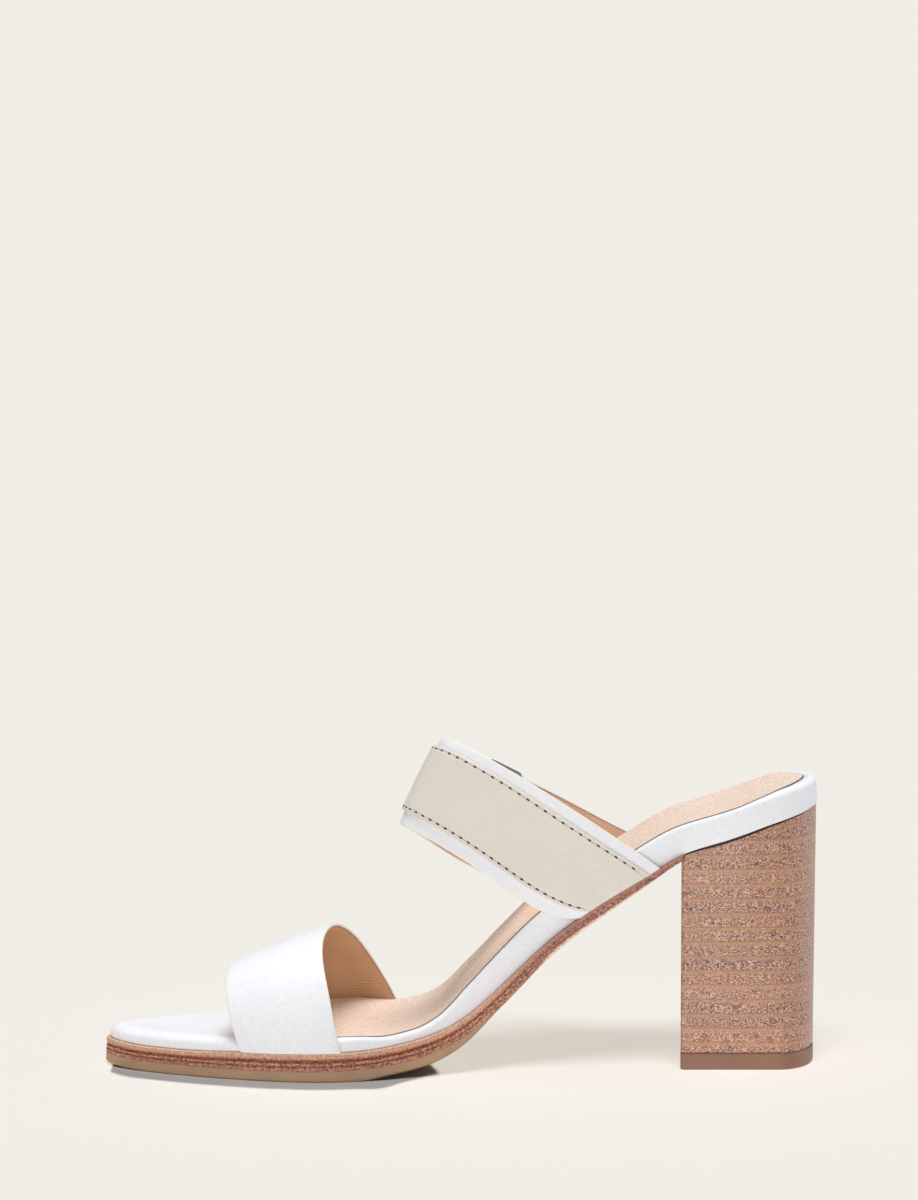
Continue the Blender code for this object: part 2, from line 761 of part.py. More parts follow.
def main():
    for old in list(bpy.data.objects):
        bpy.data.objects.remove(old)
    parts = bpy.data.collections.new("slide_sandal")
    bpy.context.scene.collection.children.link(parts)
    cutters = bpy.data.collections.new("cutters")
    bpy.context.scene.collection.children.link(cutters)
    sandal = bpy.data.objects.new("slide_sandal", None)
    parts.objects.link(sandal)

    def add(name, mesh, finish, location=Vector()):
        return add_object(name, mesh, finish, parts, sandal, location)

    add("outsole", outsole_mesh(), "rubber")
    add("midsole", midsole_mesh(), "stacked_leather")
    add("waist_sole", waist_mesh(), "waist_leather")
    add("footbed", footbed_mesh(), "white_leather")
    add("insole", insole_mesh(), "sock_leather")
    add("heel", heel_mesh(), "heel_stack", HEEL_CENTRE)
    add("top_piece", top_piece_mesh(), "top_piece", HEEL_CENTRE)

    front = StrapForm(FRONT_STRAP, FRONT_FULLNESS)
    instep = StrapForm(INSTEP_STRAP, INSTEP_FULLNESS)
    thicken(add("front_strap", strap_sheet("front_strap", front), "white_leather"), STRAP_WALL)
    thicken(add("instep_strap", strap_sheet("instep_strap", instep), "white_leather"), STRAP_WALL)

    band = add("instep_band", band_sheet(instep), "beige_leather")
    thicken(band, BAND_WALL)
    cut(band, slot_cutter("band_slot", instep, BAR_AT + 4.8, PRONG_SLOT, cutters))
    tab = add("buckle_tab", tab_sheet(instep), "beige_leather")
    thicken(tab, TAB_WALL)
    cut(tab, slot_cutter("loop_slot", instep, BAR_AT + 1.0, LOOP_SLOT, cutters))
    frame = wire("buckle_frame", frame_points(instep), WIRE, True, parts)
    add("buckle_frame", frame, "steel")
    add("buckle_prong", wire("buckle_prong", prong_points(instep), PRONG_WIRE, False, parts), "steel")


main()
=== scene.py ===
"""A two-strap slide sandal on a stacked block heel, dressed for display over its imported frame.

Frame: +Z up, the toe towards -X, the inner (medial) side towards -Y, the ground at zero.
Shapes are worked out in millimetres and built in metres. A place on the sole is a station
(millimetres behind the toe tip), an inset from the outline and a height square to the seam
line between foot bed and welt. A place on a strap is a part u of the way over it from the
inner to the outer welt, a part v of its width from its front edge, and a height off its
inside.
"""

import math

import bpy
import numpy as np
from mathutils import Matrix, Vector


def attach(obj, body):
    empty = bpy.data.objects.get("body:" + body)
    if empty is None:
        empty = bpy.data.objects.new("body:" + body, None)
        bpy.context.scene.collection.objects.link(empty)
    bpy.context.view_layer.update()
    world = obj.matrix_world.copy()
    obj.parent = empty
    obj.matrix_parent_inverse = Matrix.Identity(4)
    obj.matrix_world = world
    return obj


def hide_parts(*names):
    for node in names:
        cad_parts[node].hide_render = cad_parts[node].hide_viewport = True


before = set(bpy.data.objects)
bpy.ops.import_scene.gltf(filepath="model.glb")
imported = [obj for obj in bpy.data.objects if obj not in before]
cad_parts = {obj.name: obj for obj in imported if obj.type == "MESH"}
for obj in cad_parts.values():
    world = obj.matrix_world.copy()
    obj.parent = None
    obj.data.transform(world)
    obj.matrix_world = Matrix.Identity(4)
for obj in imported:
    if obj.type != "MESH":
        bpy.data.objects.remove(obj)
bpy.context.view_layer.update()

MM = 0.001
MERGE = 0.000008  # metres within which points are one
LENGTH = 231.8  # the last station
MID_STATION = 114.6  # the station at X zero
MID_LINE = -4.5  # Y zero, from the heel's centre line
GAP = 0.3  # between neighbouring parts

BED_INSET = 2.2
RIM_RISE = 0.85  # the rolled rim of the foot bed above the bed under the sock
SOCK_INSET = 4.1
SOCK_THICK = 0.9
SOCK_FRONT = 61.0
SOCK_LEAN = 18.0
TOE_SPRING = 0.7
SPRING_RUN = 16.0
FLAT_END = 80.0
RUBBER_END = 121.8  # where the rubber ends and the waist's leather sole begins
BREAST = 184.6  # the heel's front face
BREAST_WIDTH = 50.0
TREAD_INSET, RUBBER_INSET = 0.7, 0.1
TREAD_START, TREAD_END = 2.0, 107.0
TREAD_PITCH = 4.6  # from bar to bar
TREAD_ACROSS = 14  # steps from an edge to the middle
WAIST_BEVEL, WAIST_INSET = 1.6, 0.4
STRAP_WALL = 1.6
BAND_WALL = 1.1

HEEL_BACK = 228.2
HEEL_HALF_WIDTH = 21.4
HEEL_ROUND = 12.0
HEEL_CORNER = 1.3
HEEL_SET_BACK = 2.2
HEEL_STEPS = 46  # of its outline, for each side
HEEL_MIDDLE = 0.4  # part of the way back
SEAT_INSET = BED_INSET + 0.4
TOP_PIECE = 5.5
LIFT = 4.70  # thickness of one leather lift of the heel
LIFT_START = 4.3  # height at which the lowest lift would begin
LIFTS = 19
LIFT_PARTS = (0.0, 0.03, 0.07, 0.2, 0.4, 0.6, 0.8, 0.93, 0.97)
LIFT_GROOVE = 0.07
SEAT_GAP, SEAT_GAP_DEPTH = 0.85, 1.2  # its height at most, and its depth
# The top piece's side, as height and inset.
TOP_PIECE_SIDE = [(0.0, 0.5), (0.08, 0.2), (0.3, 0.0), (0.6, -0.06), (2.0, -0.1)]
TOP_PIECE_SIDE += [(TOP_PIECE - 0.6, -0.1), (TOP_PIECE - 0.25, -0.05)]
TOP_PIECE_SIDE += [(TOP_PIECE - 0.05, 0.12), (TOP_PIECE, 0.4)]

PROFILE = [
    # station, height of the seam line, then the thickness of bed, welt and sole
    (0.0, 9.6, 4.0, 5.5, 3.4), (14.0, 8.9, 4.1, 5.5, 3.4), (40.0, 8.9, 4.1, 5.5, 3.4),
    (70.0, 9.2, 4.0, 5.6, 3.4), (84.0, 9.7, 3.3, 5.6, 3.4), (94.0, 10.8, 2.1, 5.6, 3.4),
    (102.0, 12.4, 2.2, 5.4, 3.4), (109.0, 14.6, 3.3, 4.7, 3.1), (115.0, 17.8, 4.8, 3.9, 2.5),
    (122.0, 23.2, 6.3, 3.3, 1.7), (132.0, 32.6, 7.1, 3.1, 1.5), (145.0, 44.4, 7.8, 3.0, 1.4),
    (158.0, 53.6, 8.0, 2.8, 1.2), (172.0, 62.2, 7.9, 2.4, 1.0), (186.0, 70.6, 7.8, 2.0, 0.9),
    (200.0, 75.2, 7.7, 2.0, 0.9), (215.0, 80.4, 7.3, 2.0, 0.9), (231.8, 84.9, 6.8, 2.0, 0.9),
]
OUTLINE = [
    # station, the welt's edge to the inner and to the outer side of the heel's centre line
    (0.0, -8.5, -8.5), (1.0, -12.7, -4.2), (3.2, -16.0, -0.9), (8.0, -20.8, 3.2),
    (14.6, -25.4, 7.8), (28.0, -32.4, 14.8), (44.0, -38.9, 22.2), (57.0, -42.6, 28.0),
    (70.0, -44.1, 32.4), (84.0, -41.6, 35.2), (98.0, -35.8, 35.0), (112.0, -30.3, 31.8),
    (126.0, -26.8, 29.3), (142.0, -25.2, 28.2), (160.0, -25.3, 27.8), (186.0, -26.6, 27.6),
    (204.0, -27.6, 27.9), (216.0, -25.6, 25.9), (224.0, -20.6, 20.9), (229.2, -12.0, 12.4),
    (231.8, 0.3, 0.3),
]
INNER, OUTER = -1, 1

EDGE = ("inner", "outer", "crest_x", "crest_y", "crest_z", "slant", "bow", "bow_at", "outer_bow")
FRONT_STRAP = [
    dict(zip(EDGE, (43.7, 61.8, 42.2, -12.0, 32.9, 0.27, 0.0, 0.5, 0.0))),
    dict(zip(EDGE, (76.5, 94.3, 72.6, -5.0, 42.9, 0.20, 1.0, 0.5, -0.4))),
]
INSTEP_STRAP = [
    dict(zip(EDGE, (151.9, 146.4, 96.4, -4.0, 76.2, -0.29, -3.7, 0.225, -2.0))),
    dict(zip(EDGE, (177.7, 177.8, 111.0, -3.0, 104.1, -0.56, 0.0, 0.5, 1.4))),
]
FULLNESS = {INNER: 2.2, OUTER: 2.1}
CROWN = 0.6

BAND_LOW, BAND_HIGH = 0.136, 0.893
BAND_TUCK = 0.125
BAND_DRIFT = 0.025
BAND_TIP = 9.0
BAND_OVER = 5.5
TIP_ROUND = 9.0
BAR_AT = 42.0
FRAME_REACH = 13.0
FRAME_HEIGHT = 3.0
FRAME_SLACK = 1.0
FRAME_CORNER = 3.0
WIRE = 0.9
PRONG_WIRE = 0.5
TAB_WALL = 0.8
TAB_SHY = 1.0
TAB_RETURN = 12.0
LOOP_RADIUS = WIRE + GAP + TAB_WALL
BUCKLE_U = 0.8

STITCH = 3.1  # from needle hole to needle hole
STITCH_INSET = 1.25
THREAD = 0.17  # radius
PUNCHED = (16.0, 22.5, 29.0)  # the holes in the band's free end, up from the outer welt


# ---------------------------------------------------------------- curves of the last


def smooth_curve(xs, ys):
    """A curve through the points that never overshoots them."""
    xs = np.array(xs, float)
    ys = np.array(ys, float)
    steps = np.diff(xs)
    rises = np.diff(ys) / steps
    slopes = np.concatenate(([rises[0]], np.zeros(len(xs) - 2), [rises[-1]]))
    for i in range(1, len(xs) - 1):
        if rises[i - 1] * rises[i] > 0:
            before = 2 * steps[i] + steps[i - 1]
            after = steps[i] + 2 * steps[i - 1]
            slopes[i] = (before + after) / (before / rises[i - 1] + after / rises[i])

    def curve(x):
        x = min(max(x, xs[0]), xs[-1])
        i = int(min(max(np.searchsorted(xs, x) - 1, 0), len(steps) - 1))
        t = (x - xs[i]) / steps[i]
        ends = ys[i] * (1 + 2 * t) * (1 - t) ** 2 + ys[i + 1] * t * t * (3 - 2 * t)
        turns = slopes[i] * t * (1 - t) ** 2 + slopes[i + 1] * t * t * (t - 1)
        return float(ends + turns * steps[i])

    return curve


def ease(t):
    """0 to 1 with level ends."""
    t = min(max(t, 0.0), 1.0)
    return t * t * (3 - 2 * t)


def hump(x, width):
    """1 at zero, gone at about twice the width."""
    return math.exp(-((x / width) ** 2))


def turn_of(station):
    return math.acos(1 - 2 * min(max(station, 0.0), LENGTH) / LENGTH) / math.pi


def station_of(turn):
    return LENGTH * (1 - math.cos(math.pi * turn)) / 2


STATIONS, HEIGHTS, BEDS, WELTS, SOLES = zip(*PROFILE)
seam_height = smooth_curve(STATIONS, HEIGHTS)
bed_thickness = smooth_curve(STATIONS, BEDS)
welt_thickness = smooth_curve(STATIONS, WELTS)
sole_thickness = smooth_curve(STATIONS, SOLES)

TURNS = [turn_of(row[0]) for row in OUTLINE]
SIDE_CURVE = {
    INNER: smooth_curve(TURNS, [row[1] for row in OUTLINE]),
    OUTER: smooth_curve(TURNS, [row[2] for row in OUTLINE]),
}


def upright(station):
    """Square to the seam line in the side view, upright at the heel's back."""
    reach = 2.5
    low = max(station - reach, 0.0)
    high = min(station + reach, LENGTH)
    slope = (seam_height(high) - seam_height(low)) / (high - low)
    slope *= 1 - 0.75 * ease((station - 195.0) / (LENGTH - 195.0))
    return Vector((-slope, 0.0, 1.0)).normalized()


def outline_point(side, station, inset):
    """A point of the plan outline, moved inwards."""
    turn = turn_of(station)
    curve = SIDE_CURVE[side]
    step = 0.001
    low = max(turn - step, 0.0)
    high = min(turn + step, 1.0)
    run = station_of(high) - station_of(low)
    rise = curve(high) - curve(low)
    if turn <= step or turn >= 1 - step:
        run = 0.0
        rise = side if turn <= step else -side
    long = math.hypot(run, rise)
    return station + side * rise / long * inset, curve(turn) - side * run / long * inset


def on_sole(side, station, inset, height):
    """A point on the sole's side, in millimetres."""
    x, y = outline_point(side, station, inset)
    foot = Vector((x - MID_STATION, y - MID_LINE, seam_height(x)))
    return foot + upright(x) * height


def band_edges(u):
    """The band's front and rear edges, as parts of the strap's width."""
    drift = BAND_DRIFT * ease((u - 0.45) / 0.2)
    tuck = (BAND_TUCK - BAND_LOW) * (1 - ease(u / 0.09))
    settle = 0.019 * (1 - ease(u / 0.35))
    return BAND_LOW + tuck + drift, BAND_HIGH - settle + drift


def travelled(line):
    """How far along a line each of its points lies."""
    return np.concatenate(([0], np.cumsum(np.linalg.norm(np.diff(line, axis=0), axis=1))))


def points_at(line, distances):
    """Points at distances along a line."""
    travel = travelled(line)
    return np.stack([np.interp(distances, travel, axis) for axis in line.T], axis=1)


class StrapForm:
    """The inside surface of a strap."""

    ROWS, COLUMNS, DENSE = 160, 16, 200

    def __init__(self, edges, fullness):
        self.edges = edges
        self.fullness = fullness
        ribs = [self.rib(j / self.COLUMNS) for j in range(self.COLUMNS + 1)]
        self.grid = np.array(ribs).transpose(1, 0, 2)
        self.length = float(travelled(self.grid[:, self.COLUMNS // 2])[-1])

    def edge(self, name, v):
        return self.edges[0][name] + (self.edges[1][name] - self.edges[0][name]) * v

    def quarter(self, side, v):
        """From the welt to the crest: a quarter of a full arch that hugs the bed's wall."""
        station = self.edge("inner" if side == INNER else "outer", v)
        wall_inset = BED_INSET - GAP
        base = on_sole(side, station, wall_inset, GAP)
        crest_x = self.edge("crest_x", v) - MID_STATION
        crest_y = self.edge("crest_y", v) - MID_LINE
        crest_z = self.edge("crest_z", v) + CROWN * 4 * v * (1 - v)
        crest = Vector((crest_x, crest_y, crest_z))
        lean = self.edge("slant", v) * (base.y - crest.y)
        root = Vector((base.x - lean, crest.y, base.z))
        square = upright(station)
        along = Vector((square.z, 0.0, -square.x))
        rise = crest - root
        drift = rise.dot(along) / rise.dot(square) * along.x
        across = Vector((rise.z, 0.0, -rise.x)).normalized()
        bow = self.edge("bow" if side == INNER else "outer_bow", v)
        skew = math.log(0.5) / math.log(self.edge("bow_at", v)) if side == INNER else 1.0
        points = []
        for i in range(self.DENSE + 1):
            angle = math.pi / 2 * i / self.DENSE
            out = max(math.cos(angle), 0.0) ** (2 / self.fullness[side])
            up = max(math.sin(angle), 0.0) ** (2 / self.fullness[side])
            point = root + (base - root) * out + (crest - root) * up
            above = max((point - base).dot(square), 0.0)
            wall_station = station + drift * 10 * math.tanh(above / 10)
            wall = outline_point(side, wall_station, wall_inset)[1] - MID_LINE
            point.y = crest.y + (wall - crest.y) * out
            points.append(point + across * bow * math.sin(math.pi * up**skew) ** 2)
        return points

    def rib(self, v):
        """The arch at v, as evenly spaced points."""
        dense = np.array(self.quarter(INNER, v) + self.quarter(OUTER, v)[-2::-1])
        return points_at(dense, np.linspace(0, travelled(dense)[-1], self.ROWS + 1))

    def surface(self, u, v):
        row = min(max(u, 0.0), 1.0) * self.ROWS
        column = min(max(v, 0.0), 1.0) * self.COLUMNS
        i = min(int(row), self.ROWS - 1)
        j = min(int(column), self.COLUMNS - 1)
        a, b = row - i, column - j
        near = self.grid[i, j] * (1 - b) + self.grid[i, j + 1] * b
        far = self.grid[i + 1, j] * (1 - b) + self.grid[i + 1, j + 1] * b
        return Vector(near * (1 - a) + far * a)

    def point(self, u, v, height=0.0):
        place = self.surface(u, v)
        along = self.surface(u + 0.015, v) - self.surface(u - 0.015, v)
        across = self.surface(u, v + 0.08) - self.surface(u, v - 0.08)
        return place + across.cross(along).normalized() * height

    def width(self, u):
        return (self.surface(u, 1.0) - self.surface(u, 0.0)).length

    def laid(self, up, across, height):
        """A point by its distances: up the strap from the outer welt, across it from the
        band's middle, and above its outside."""
        u = 1 - up / self.length
        low, high = band_edges(u)
        return self.point(u, (low + high) / 2 + across / self.width(u), STRAP_WALL + height)

    def band_half_width(self):
        return (BAND_HIGH - BAND_LOW) / 2 * self.width(BUCKLE_U)


front = StrapForm(FRONT_STRAP, FULLNESS)
instep = StrapForm(INSTEP_STRAP, FULLNESS)


# ---------------------------------------------------------------- finishes
# Patterns are placed by the object's own coordinates, and their sizes are in metres.


def linear(code):
    """An sRGB hex colour as linear red, green, blue and alpha."""
    parts = [int(code[i : i + 2], 16) / 255 for i in (1, 3, 5)]
    return (*[p / 12.92 if p <= 0.04045 else ((p + 0.055) / 1.055) ** 2.4 for p in parts], 1.0)


def fill(tree, socket, value):
    """Joins an input to an output, or sets it to a number, a vector or a hex colour."""
    if isinstance(value, bpy.types.NodeSocket):
        tree.links.new(value, socket)
    else:
        socket.default_value = linear(value) if isinstance(value, str) else value


def add_node(tree, kind, sockets, out=0, **settings):
    """Adds a node, sets its properties and fills its sockets, given in order, or by name or
    number. Returns its output. A ramp setting is a list of places and hex colours."""
    node = tree.nodes.new("ShaderNode" + kind)
    ramp = settings.pop("ramp", None)
    if ramp:
        stops = node.color_ramp.elements
        while len(stops) < len(ramp):
            stops.new(1.0)
        for stop, (place, code) in zip(stops, ramp):
            stop.position = place
            stop.color = linear(code)
    for name, value in settings.items():
        setattr(node, name, value)
    if isinstance(sockets, list):
        sockets = dict(enumerate(sockets))
    for name, value in sockets.items():
        fill(tree, node.inputs[name], value)
    return node.outputs[out]


# Settings of nodes that are used often. A Mix node's share is its socket 0, and the colours
# that it mixes are 6 and 7.
OVER = {"data_type": "RGBA", "out": 2}
DARKEN = {"blend_type": "MULTIPLY", **OVER}
PART = {"attribute_name": "part", "out": "Fac"}


def speckle(tree, place, size, stretch, low, high):
    """Fine noise as a grey from low to high, drawn out sideways."""
    drawn = add_node(tree, "Mapping", {"Vector": place, "Scale": (1.0, 1.0, stretch)})
    noise = {"Vector": drawn, "Scale": 1 / size, "Detail": 3.0, "Roughness": 0.65}
    return add_node(tree, "MapRange", [add_node(tree, "TexNoise", noise), 0.4, 0.6, low, high])


def new_finish(name, roughness, **sockets):
    """A material; returns it with its node tree and the object's coordinates."""
    made = bpy.data.materials.new(name)
    made.use_nodes = True
    tree = made.node_tree
    shader = tree.nodes["Principled BSDF"]
    for socket, value in {"Roughness": roughness, **sockets}.items():
        fill(tree, shader.inputs[socket.replace("_", " ")], value)
    return made, tree, add_node(tree, "TexCoord", {}, out="Object")


def finished(made, colour, height, strength, distance, **settings):
    """Gives a material its colour and its relief."""
    tree = made.node_tree
    shader = tree.nodes["Principled BSDF"]
    fill(tree, shader.inputs["Base Color"], colour)
    relief = {"Height": height, "Strength": strength, "Distance": distance}
    fill(tree, shader.inputs["Normal"], add_node(tree, "Bump", relief, **settings))
    return made


def leather_finish(
    name, light, dark, grain, relief, roughness, patch=0.02, depth=0.35, edge=None, **sockets
):
    """Grained leather: cells of grain as raised pebbles, and colour that drifts over patches.
    depth is how strongly painted shade darkens the grain's hollows and painted light lifts the
    pebble tops, and edge the colour of its edge."""
    made, tree, place = new_finish(name, roughness, **sockets)
    drift = add_node(tree, "TexNoise", {"Vector": place, "Scale": 1 / patch, "Detail": 3.0})
    pebbles = {"Vector": place, "Scale": 1 / grain, "Smoothness": 0.6}
    cells = add_node(tree, "TexVoronoi", pebbles, feature="SMOOTH_F1")
    shade = add_node(tree, "Math", [cells, depth, drift], operation="MULTIPLY_ADD")
    tone = add_node(tree, "ValToRGB", [shade], ramp=[(0.42, light), (0.92, dark)])
    # Painted shade in the grain's hollows and painted light on the pebble tops, as strong as
    # depth.
    bright, dim = 1 + 0.06 * depth, 1 - 0.13 * depth
    hollow = add_node(tree, "MapRange", [cells, 0.1, 0.55, bright, dim])
    colour = add_node(tree, "Mix", {0: 1.0, 6: tone, 7: hollow}, **DARKEN)
    if edge:
        cut = add_node(tree, "Attribute", {}, **PART)
        colour = add_node(tree, "Mix", {0: cut, 6: colour, 7: edge}, **OVER)
    return finished(made, colour, cells, 1.0, relief * MM, invert=True)


# Calf leather with a smooth pigmented finish: an even white with a soft satin shine, a grain
# that is only just there, and a darker cream along its folded edge.
white_leather = leather_finish(
    "pigmented_calf_white", "#F3F4F8", "#EFF0F6", 0.0008, 0.015, 0.48, edge="#EFEBE1",
    Specular_IOR_Level=0.35
)
# The same calf, dyed bone: a little more grain, and painted shade, a warmer darker tone, in
# its hollows.
bone_leather = leather_finish(
    "dyed_calf_bone", "#E4DDD3", "#DED6CA", 0.0007, 0.03, 0.5, depth=0.25
)
# Tumbled lambskin sock: soft pebbles about a millimetre across with strong painted shade in
# their hollows, blush, and its cut edge dark brown, partly its raw edge's own colour and
# partly painted shade where it meets the bed.
sock_leather = leather_finish(
    "tumbled_lambskin_sock", "#FFF1E6", "#F7DECB", 0.0011, 0.25, 0.55, 0.012, 1.1, "#5E4030"
)


def lining_finish(name, light, dark):
    """Vegetable-tanned sheep: bare tan leather, dull, with fine level wrinkles that come and
    go, painted shade deepening the tan in their hollows and painted light on their crests, and
    darkest along its cut edge."""
    made, tree, place = new_finish(name, 0.62)
    wave = {"Vector": place, "Scale": 330.0, "Distortion": 5.0, "Detail": 2.0}
    wave["Detail Scale"] = 0.7
    wrinkle = add_node(tree, "TexWave", wave, bands_direction="Z", out="Fac")
    # Painted shade in the wrinkles' hollows and painted light on their crests.
    hollow = add_node(tree, "MapRange", [wrinkle, 0.0, 1.0, 0.84, 1.07])
    present = speckle(tree, place, 0.016, 1.0, 0.15, 1.0)
    drift = add_node(tree, "TexNoise", {"Vector": place, "Scale": 45.0, "Detail": 1.0})
    tone = add_node(tree, "ValToRGB", [drift], ramp=[(0.3, light), (0.7, dark)])
    colour = add_node(tree, "Mix", {0: present, 6: tone, 7: hollow}, **DARKEN)
    fine = speckle(tree, place, 0.0006, 2.0, 0.93, 1.05)
    colour = add_node(tree, "Mix", {0: 1.0, 6: colour, 7: fine}, **DARKEN)
    cut = add_node(tree, "Attribute", {}, **PART)
    colour = add_node(tree, "Mix", {0: cut, 6: colour, 7: "#7B5238"}, **OVER)
    return finished(made, colour, hollow, 0.5, 0.0001)


def heel_finish():
    """Stacked leather lifts, sanded and waxed: each is smooth and tan along its upper edge
    and full of dark fibre specks lower down, with a thin orange glue line between lifts."""
    made, tree, place = new_finish(
        "waxed_stacked_leather", 0.42, Coat_Weight=0.15, Coat_Roughness=0.3
    )
    height = add_node(tree, "SeparateXYZ", [place], out="Z")
    wander = add_node(tree, "TexNoise", {"Vector": place, "Scale": 70.0, "Detail": 2.0})
    wavy = add_node(tree, "Math", [wander, 0.0006, height], operation="MULTIPLY_ADD")
    lifts = [wavy, 1 / (LIFT * MM), -(LIFT_START + 0.3) / LIFT]
    count = add_node(tree, "Math", lifts, operation="MULTIPLY_ADD")
    part = add_node(tree, "Math", [count], operation="FRACT")
    whole = add_node(tree, "Math", [count], operation="FLOOR")
    base = [(0.0, "#A46C51"), (0.05, "#AF7C65"), (0.25, "#B38674"), (0.55, "#B38671")]
    base += [(0.78, "#B7886C"), (0.9, "#BF906F"), (0.97, "#B68261"), (1.0, "#9E6547")]
    base = add_node(tree, "ValToRGB", [part], ramp=base)
    amount = [(0.0, "#A0A0A0"), (0.08, "#EEEEEE"), (0.2, "#FFFFFF"), (0.58, "#FFFFFF")]
    amount += [(0.72, "#D8D8D8"), (0.82, "#A0A0A0"), (1.0, "#888888")]
    share = add_node(tree, "ValToRGB", [part], ramp=amount)
    random = add_node(tree, "TexWhiteNoise", {"W": whole}, noise_dimensions="1D")
    uneven = add_node(tree, "MapRange", [random, 0.0, 1.0, 0.75, 1.0])
    patches = speckle(tree, place, 0.006, 2.0, 0.72, 1.0)
    for other in (uneven, patches):
        share = add_node(tree, "Math", [share, other], operation="MULTIPLY")
    specks = speckle(tree, place, 0.00062, 1.35, 0.0, 1.0)
    fibre = [(0.0, "#4A2B1F"), (0.3, "#815A47"), (0.65, "#BE907C"), (1.0, "#E8BFA9")]
    fibre = add_node(tree, "ValToRGB", [specks], ramp=fibre)
    colour = add_node(tree, "Mix", {0: share, 6: base, 7: fibre}, **OVER)
    tint = add_node(tree, "MapRange", [random, 0.0, 1.0, 1.08, 0.97])
    colour = add_node(tree, "HueSaturation", {"Color": colour, "Value": tint})
    # Painted shade: the gap under the foot bed is coloured near black.
    painted_gap_shade = add_node(tree, "Attribute", {}, **PART)
    colour = add_node(tree, "Mix", {0: painted_gap_shade, 6: colour, 7: "#241815"}, **OVER)
    return finished(made, colour, specks, 0.4, 0.00005)


def stained_and_shaded_edge(name, ramp, size, low, high, ragged, calm=None, clean=0.0):
    """Leather seen on its cut edge: ramp colours it by its kept part, which ragged fibres
    break up, and specks darken and lighten it. calm is where along the sole its bands fade
    into one brown, and clean how much the specks fade from the bead upwards."""
    made, tree, place = new_finish(name, 0.5)
    wander = add_node(tree, "TexNoise", {"Vector": place, "Scale": 900.0, "Detail": 2.0})
    shift = add_node(tree, "Math", [wander, ragged, -ragged / 2], operation="MULTIPLY_ADD")
    up = add_node(tree, "Attribute", {}, **PART)
    part = add_node(tree, "Math", [shift, up], operation="ADD")
    colour = add_node(tree, "ValToRGB", [part], ramp=ramp)
    if calm:
        start, end, most, brown = calm
        along = add_node(tree, "SeparateXYZ", [place], out="X")
        faded = add_node(tree, "MapRange", [along, start, end, 0.0, most])
        colour = add_node(tree, "Mix", {0: faded, 6: colour, 7: brown}, **OVER)
    specks = speckle(tree, place, size, 1.3, low, high)
    share = add_node(tree, "MapRange", [part, 0.48, 0.6, 1.0, 1.0 - clean])
    colour = add_node(tree, "Mix", {0: share, 6: colour, 7: specks}, **DARKEN)
    return finished(made, colour, specks, 0.6, 0.0001)


def plain_finish(name, light, dark, size, relief, roughness, foot=None, **sockets):
    """An even surface with faint cloudiness and a fine tooth, foot colouring its kept part: on
    the rubber, painted shade.
    """
    made, tree, place = new_finish(name, roughness, **sockets)
    cloud = add_node(tree, "TexNoise", {"Vector": place, "Scale": 1 / size, "Detail": 4.0})
    colour = add_node(tree, "ValToRGB", [cloud], ramp=[(0.3, light), (0.7, dark)])
    if foot:
        low = add_node(tree, "Attribute", {}, **PART)
        colour = add_node(tree, "Mix", {0: low, 6: colour, 7: foot}, **OVER)
    tooth = add_node(tree, "TexNoise", {"Vector": place, "Scale": 2500.0})
    return finished(made, colour, tooth, 0.5, relief * MM)


# Stacked leather: tan lifts full of dark fibre, with orange glue lines and a waxed shine, and
# painted near-black shade in the gap under the foot bed.
heel_leather = heel_finish()
# Leather welt, stained and burnished: from the rubber up, raw fibre, a worked line, fibre, a
# deep worked line, and a pale bead; the ledge above is pale, with painted shade darkening it
# where the upper meets it. Its bands fade into one speckled brown along the waist.
WELT_RAMP = [(0.0, "#D6A48B"), (0.03, "#C48A72"), (0.09, "#BB7F68"), (0.16, "#B57860")]
WELT_RAMP += [(0.21, "#995B46"), (0.26, "#BE8168"), (0.34, "#CB9074"), (0.39, "#9C5A40")]
WELT_RAMP += [(0.46, "#914D33"), (0.51, "#B8795A"), (0.58, "#C89471"), (0.65, "#D6A88B")]
WELT_RAMP += [(0.7, "#CE9C80"), (0.78, "#DAAF94"), (0.9, "#D8AA90"), (0.95, "#C09074")]
# The last stop is painted shade where the upper meets the ledge.
WELT_RAMP += [(0.98, "#7A4E3A")]
welt_leather = stained_and_shaded_edge(
    "burnished_leather_welt", WELT_RAMP, 0.00075, 0.33, 1.42, 0.1,
    (0.008, 0.03, 0.8, "#A66F61"), 0.6
)
# Leather sole of the waist: brown fibre above, a bare pale bevel, and a burnished corner.
WAIST_RAMP = [(0.0, "#5A3C2E"), (0.08, "#BE8766"), (0.16, "#EBC9AF"), (0.78, "#EFD1BA")]
WAIST_RAMP += [(0.88, "#C58D76"), (0.96, "#B27865")]
waist_leather = stained_and_shaded_edge("bevelled_waist_leather", WAIST_RAMP, 0.0008, 0.68, 1.3, 0.12)
# Vegetable-tanned linings: dull, wrinkled tan under the toes, and the same lining in the
# instep painted paler, as light falling on it.
forefoot_lining = lining_finish("vegetable_tanned_lining", "#D8AB83", "#C99A72")
lining_painted_paler_for_instep = lining_finish("vegetable_tanned_lining_painted_paler", "#F0C8AB", "#E6BB9C")
# Moulded rubber: dull and even, slightly warm grey, with painted shade darkening its lower
# corner and underside.
rubber = plain_finish(
    "moulded_rubber_taupe", "#B39172", "#A9886A", 0.006, 0.02, 0.62, "#6A5A4D"
)
# Moulded polyurethane top piece: smoother and a little redder than the stack above it.
cap_plastic = plain_finish("moulded_heel_cap", "#926954", "#8B624E", 0.005, 0.015, 0.5)
# Bonded nylon thread, bone.
thread_nylon = plain_finish("bonded_nylon_thread", "#C9BEAC", "#B8AB97", 0.0006, 0.02, 0.5)
